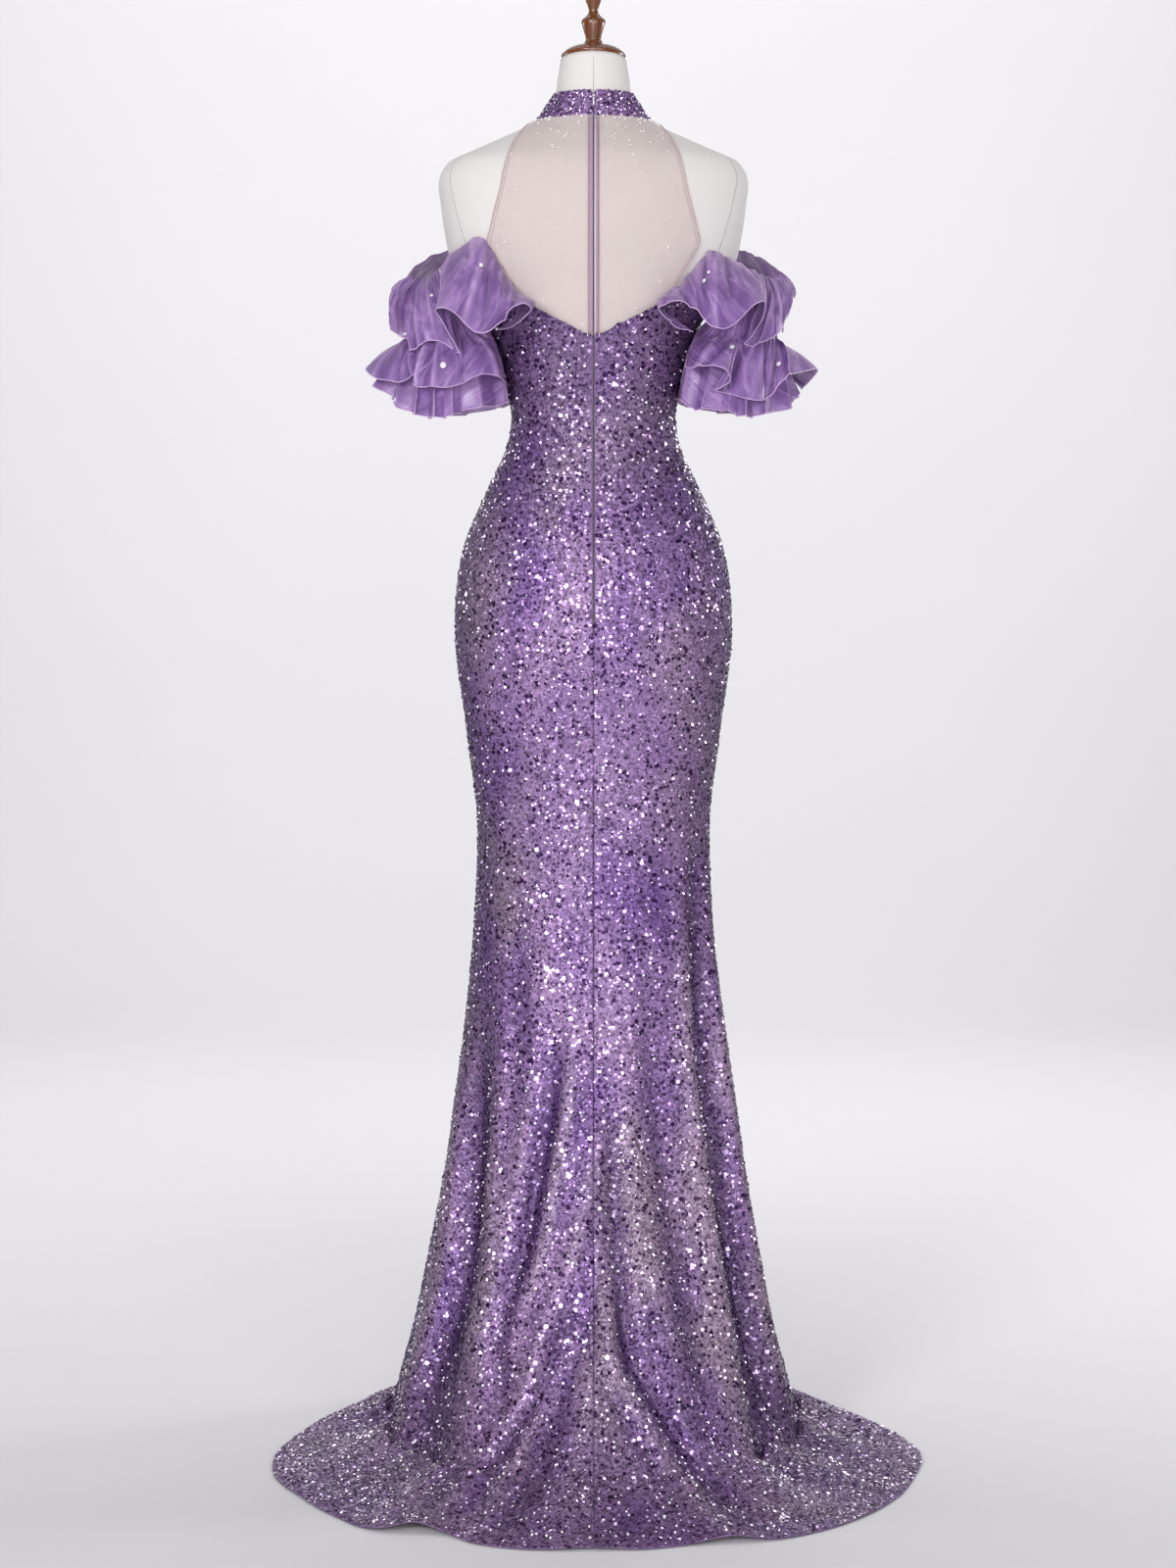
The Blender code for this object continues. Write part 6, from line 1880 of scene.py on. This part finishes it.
class GownStudio(bpy.types.PropertyGroup):
    """The studio round the gown."""

    floor: colour("Floor", "Floor and backdrop", (0.66, 0.65, 0.67))
    sweep_from: bpy.props.FloatProperty(
        name="Sweep start", description="Where the floor starts to rise into the backdrop", default=3.2,
        unit="LENGTH")
    sweep_radius: bpy.props.FloatProperty(
        name="Sweep radius", description="Radius of the backdrop's sweep", default=2.6, unit="LENGTH")
    sky: colour("Room light", "Colour of the light all round", (0.80, 0.79, 0.84))
    sky_strength: bpy.props.FloatProperty(
        name="Room light strength", description="Strength of the light all round", default=0.22, min=0.0,
        max=4.0)
    backdrop_level: bpy.props.FloatProperty(
        name="Backdrop lamp", description="Strength of the lamp that washes the backdrop", default=260.0,
        min=0.0)
    light_level: bpy.props.FloatProperty(
        name="Lamp level", description="Strength of all the lamps", default=1.0, min=0.0, max=10.0)


class GOWN_OT_form(bpy.types.Operator):
    """Build the dress form's body and its seams"""

    bl_idname = "gown.form"
    bl_label = "Dress form"

    def execute(self, context):
        build_torso()
        build_form_seams()
        return {"FINISHED"}


class GOWN_OT_stand(bpy.types.Operator):
    """Turn the neck cap, finial, pole and base"""

    bl_idname = "gown.stand"
    bl_label = "Stand and finial"

    def execute(self, context):
        build_stand()
        return {"FINISHED"}


class GOWN_OT_panels(bpy.types.Operator):
    """Hang the gown's front and back panels"""

    bl_idname = "gown.panels"
    bl_label = "Gown panels"

    def execute(self, context):
        build_panels()
        return {"FINISHED"}


class GOWN_OT_sequins(bpy.types.Operator):
    """Sew the sequins on the panels"""

    bl_idname = "gown.sequins"
    bl_label = "Sequins"

    def execute(self, context):
        build_sequins()
        return {"FINISHED"}


class GOWN_OT_yoke(bpy.types.Operator):
    """Lay the sheer yoke and its beads, and the band collar"""

    bl_idname = "gown.yoke"
    bl_label = "Yoke and collar"

    def execute(self, context):
        build_yoke()
        build_collar()
        return {"FINISHED"}


class GOWN_OT_zip(bpy.types.Operator):
    """Set in the zip, its slider and pull, and the hook and eye"""

    bl_idname = "gown.zip"
    bl_label = "Zip"

    def execute(self, context):
        build_zip()
        build_zip_ends()
        return {"FINISHED"}


class GOWN_OT_sleeves(bpy.types.Operator):
    """Gather the flounces of both sleeves"""

    bl_idname = "gown.sleeves"
    bl_label = "Sleeves"

    def execute(self, context):
        build_sleeves()
        return {"FINISHED"}


class GOWN_OT_crystals(bpy.types.Operator):
    """Set the crystals on the sleeves"""

    bl_idname = "gown.crystals"
    bl_label = "Crystals"

    def execute(self, context):
        build_crystals()
        return {"FINISHED"}


class GOWN_OT_stage(bpy.types.Operator):
    """Set up the floor, lights and camera"""

    bl_idname = "gown.stage"
    bl_label = "Studio"

    def execute(self, context):
        build_stage()
        return {"FINISHED"}


OPERATORS = (
    GOWN_OT_stage, GOWN_OT_form, GOWN_OT_stand, GOWN_OT_panels, GOWN_OT_sequins, GOWN_OT_yoke, GOWN_OT_zip,
    GOWN_OT_sleeves, GOWN_OT_crystals,
)


class GOWN_PT_panel(bpy.types.Panel):
    """Lists the gown's pieces, sizes and colours"""

    bl_idname = "GOWN_PT_panel"
    bl_label = "Evening gown"
    bl_space_type = "VIEW_3D"
    bl_region_type = "UI"
    bl_category = "Gown"

    def draw(self, context):
        for operator in OPERATORS:
            self.layout.operator(operator.bl_idname)
        for group in ("gown_settings", "gown_colours", "gown_studio"):
            box = self.layout.box()
            values = getattr(context.scene, group)
            for name in values.__annotations__:
                box.prop(values, name)


GROUPS = {"gown_settings": GownSettings, "gown_colours": GownColours, "gown_studio": GownStudio}
CLASSES = (*GROUPS.values(), *OPERATORS, GOWN_PT_panel)


def register():
    for made in CLASSES:
        bpy.utils.register_class(made)
    for name, group in GROUPS.items():
        setattr(bpy.types.Scene, name, bpy.props.PointerProperty(type=group))


def unregister():
    for name in GROUPS:
        delattr(bpy.types.Scene, name)
    for made in reversed(CLASSES):
        bpy.utils.unregister_class(made)


def main():
    register()
    bpy.ops.gown.stage()
    bpy.ops.gown.form()
    bpy.ops.gown.stand()
    bpy.ops.gown.panels()
    bpy.ops.gown.sequins()
    bpy.ops.gown.yoke()
    bpy.ops.gown.zip()
    bpy.ops.gown.sleeves()
    bpy.ops.gown.crystals()


if __name__ == "__main__":
    main()
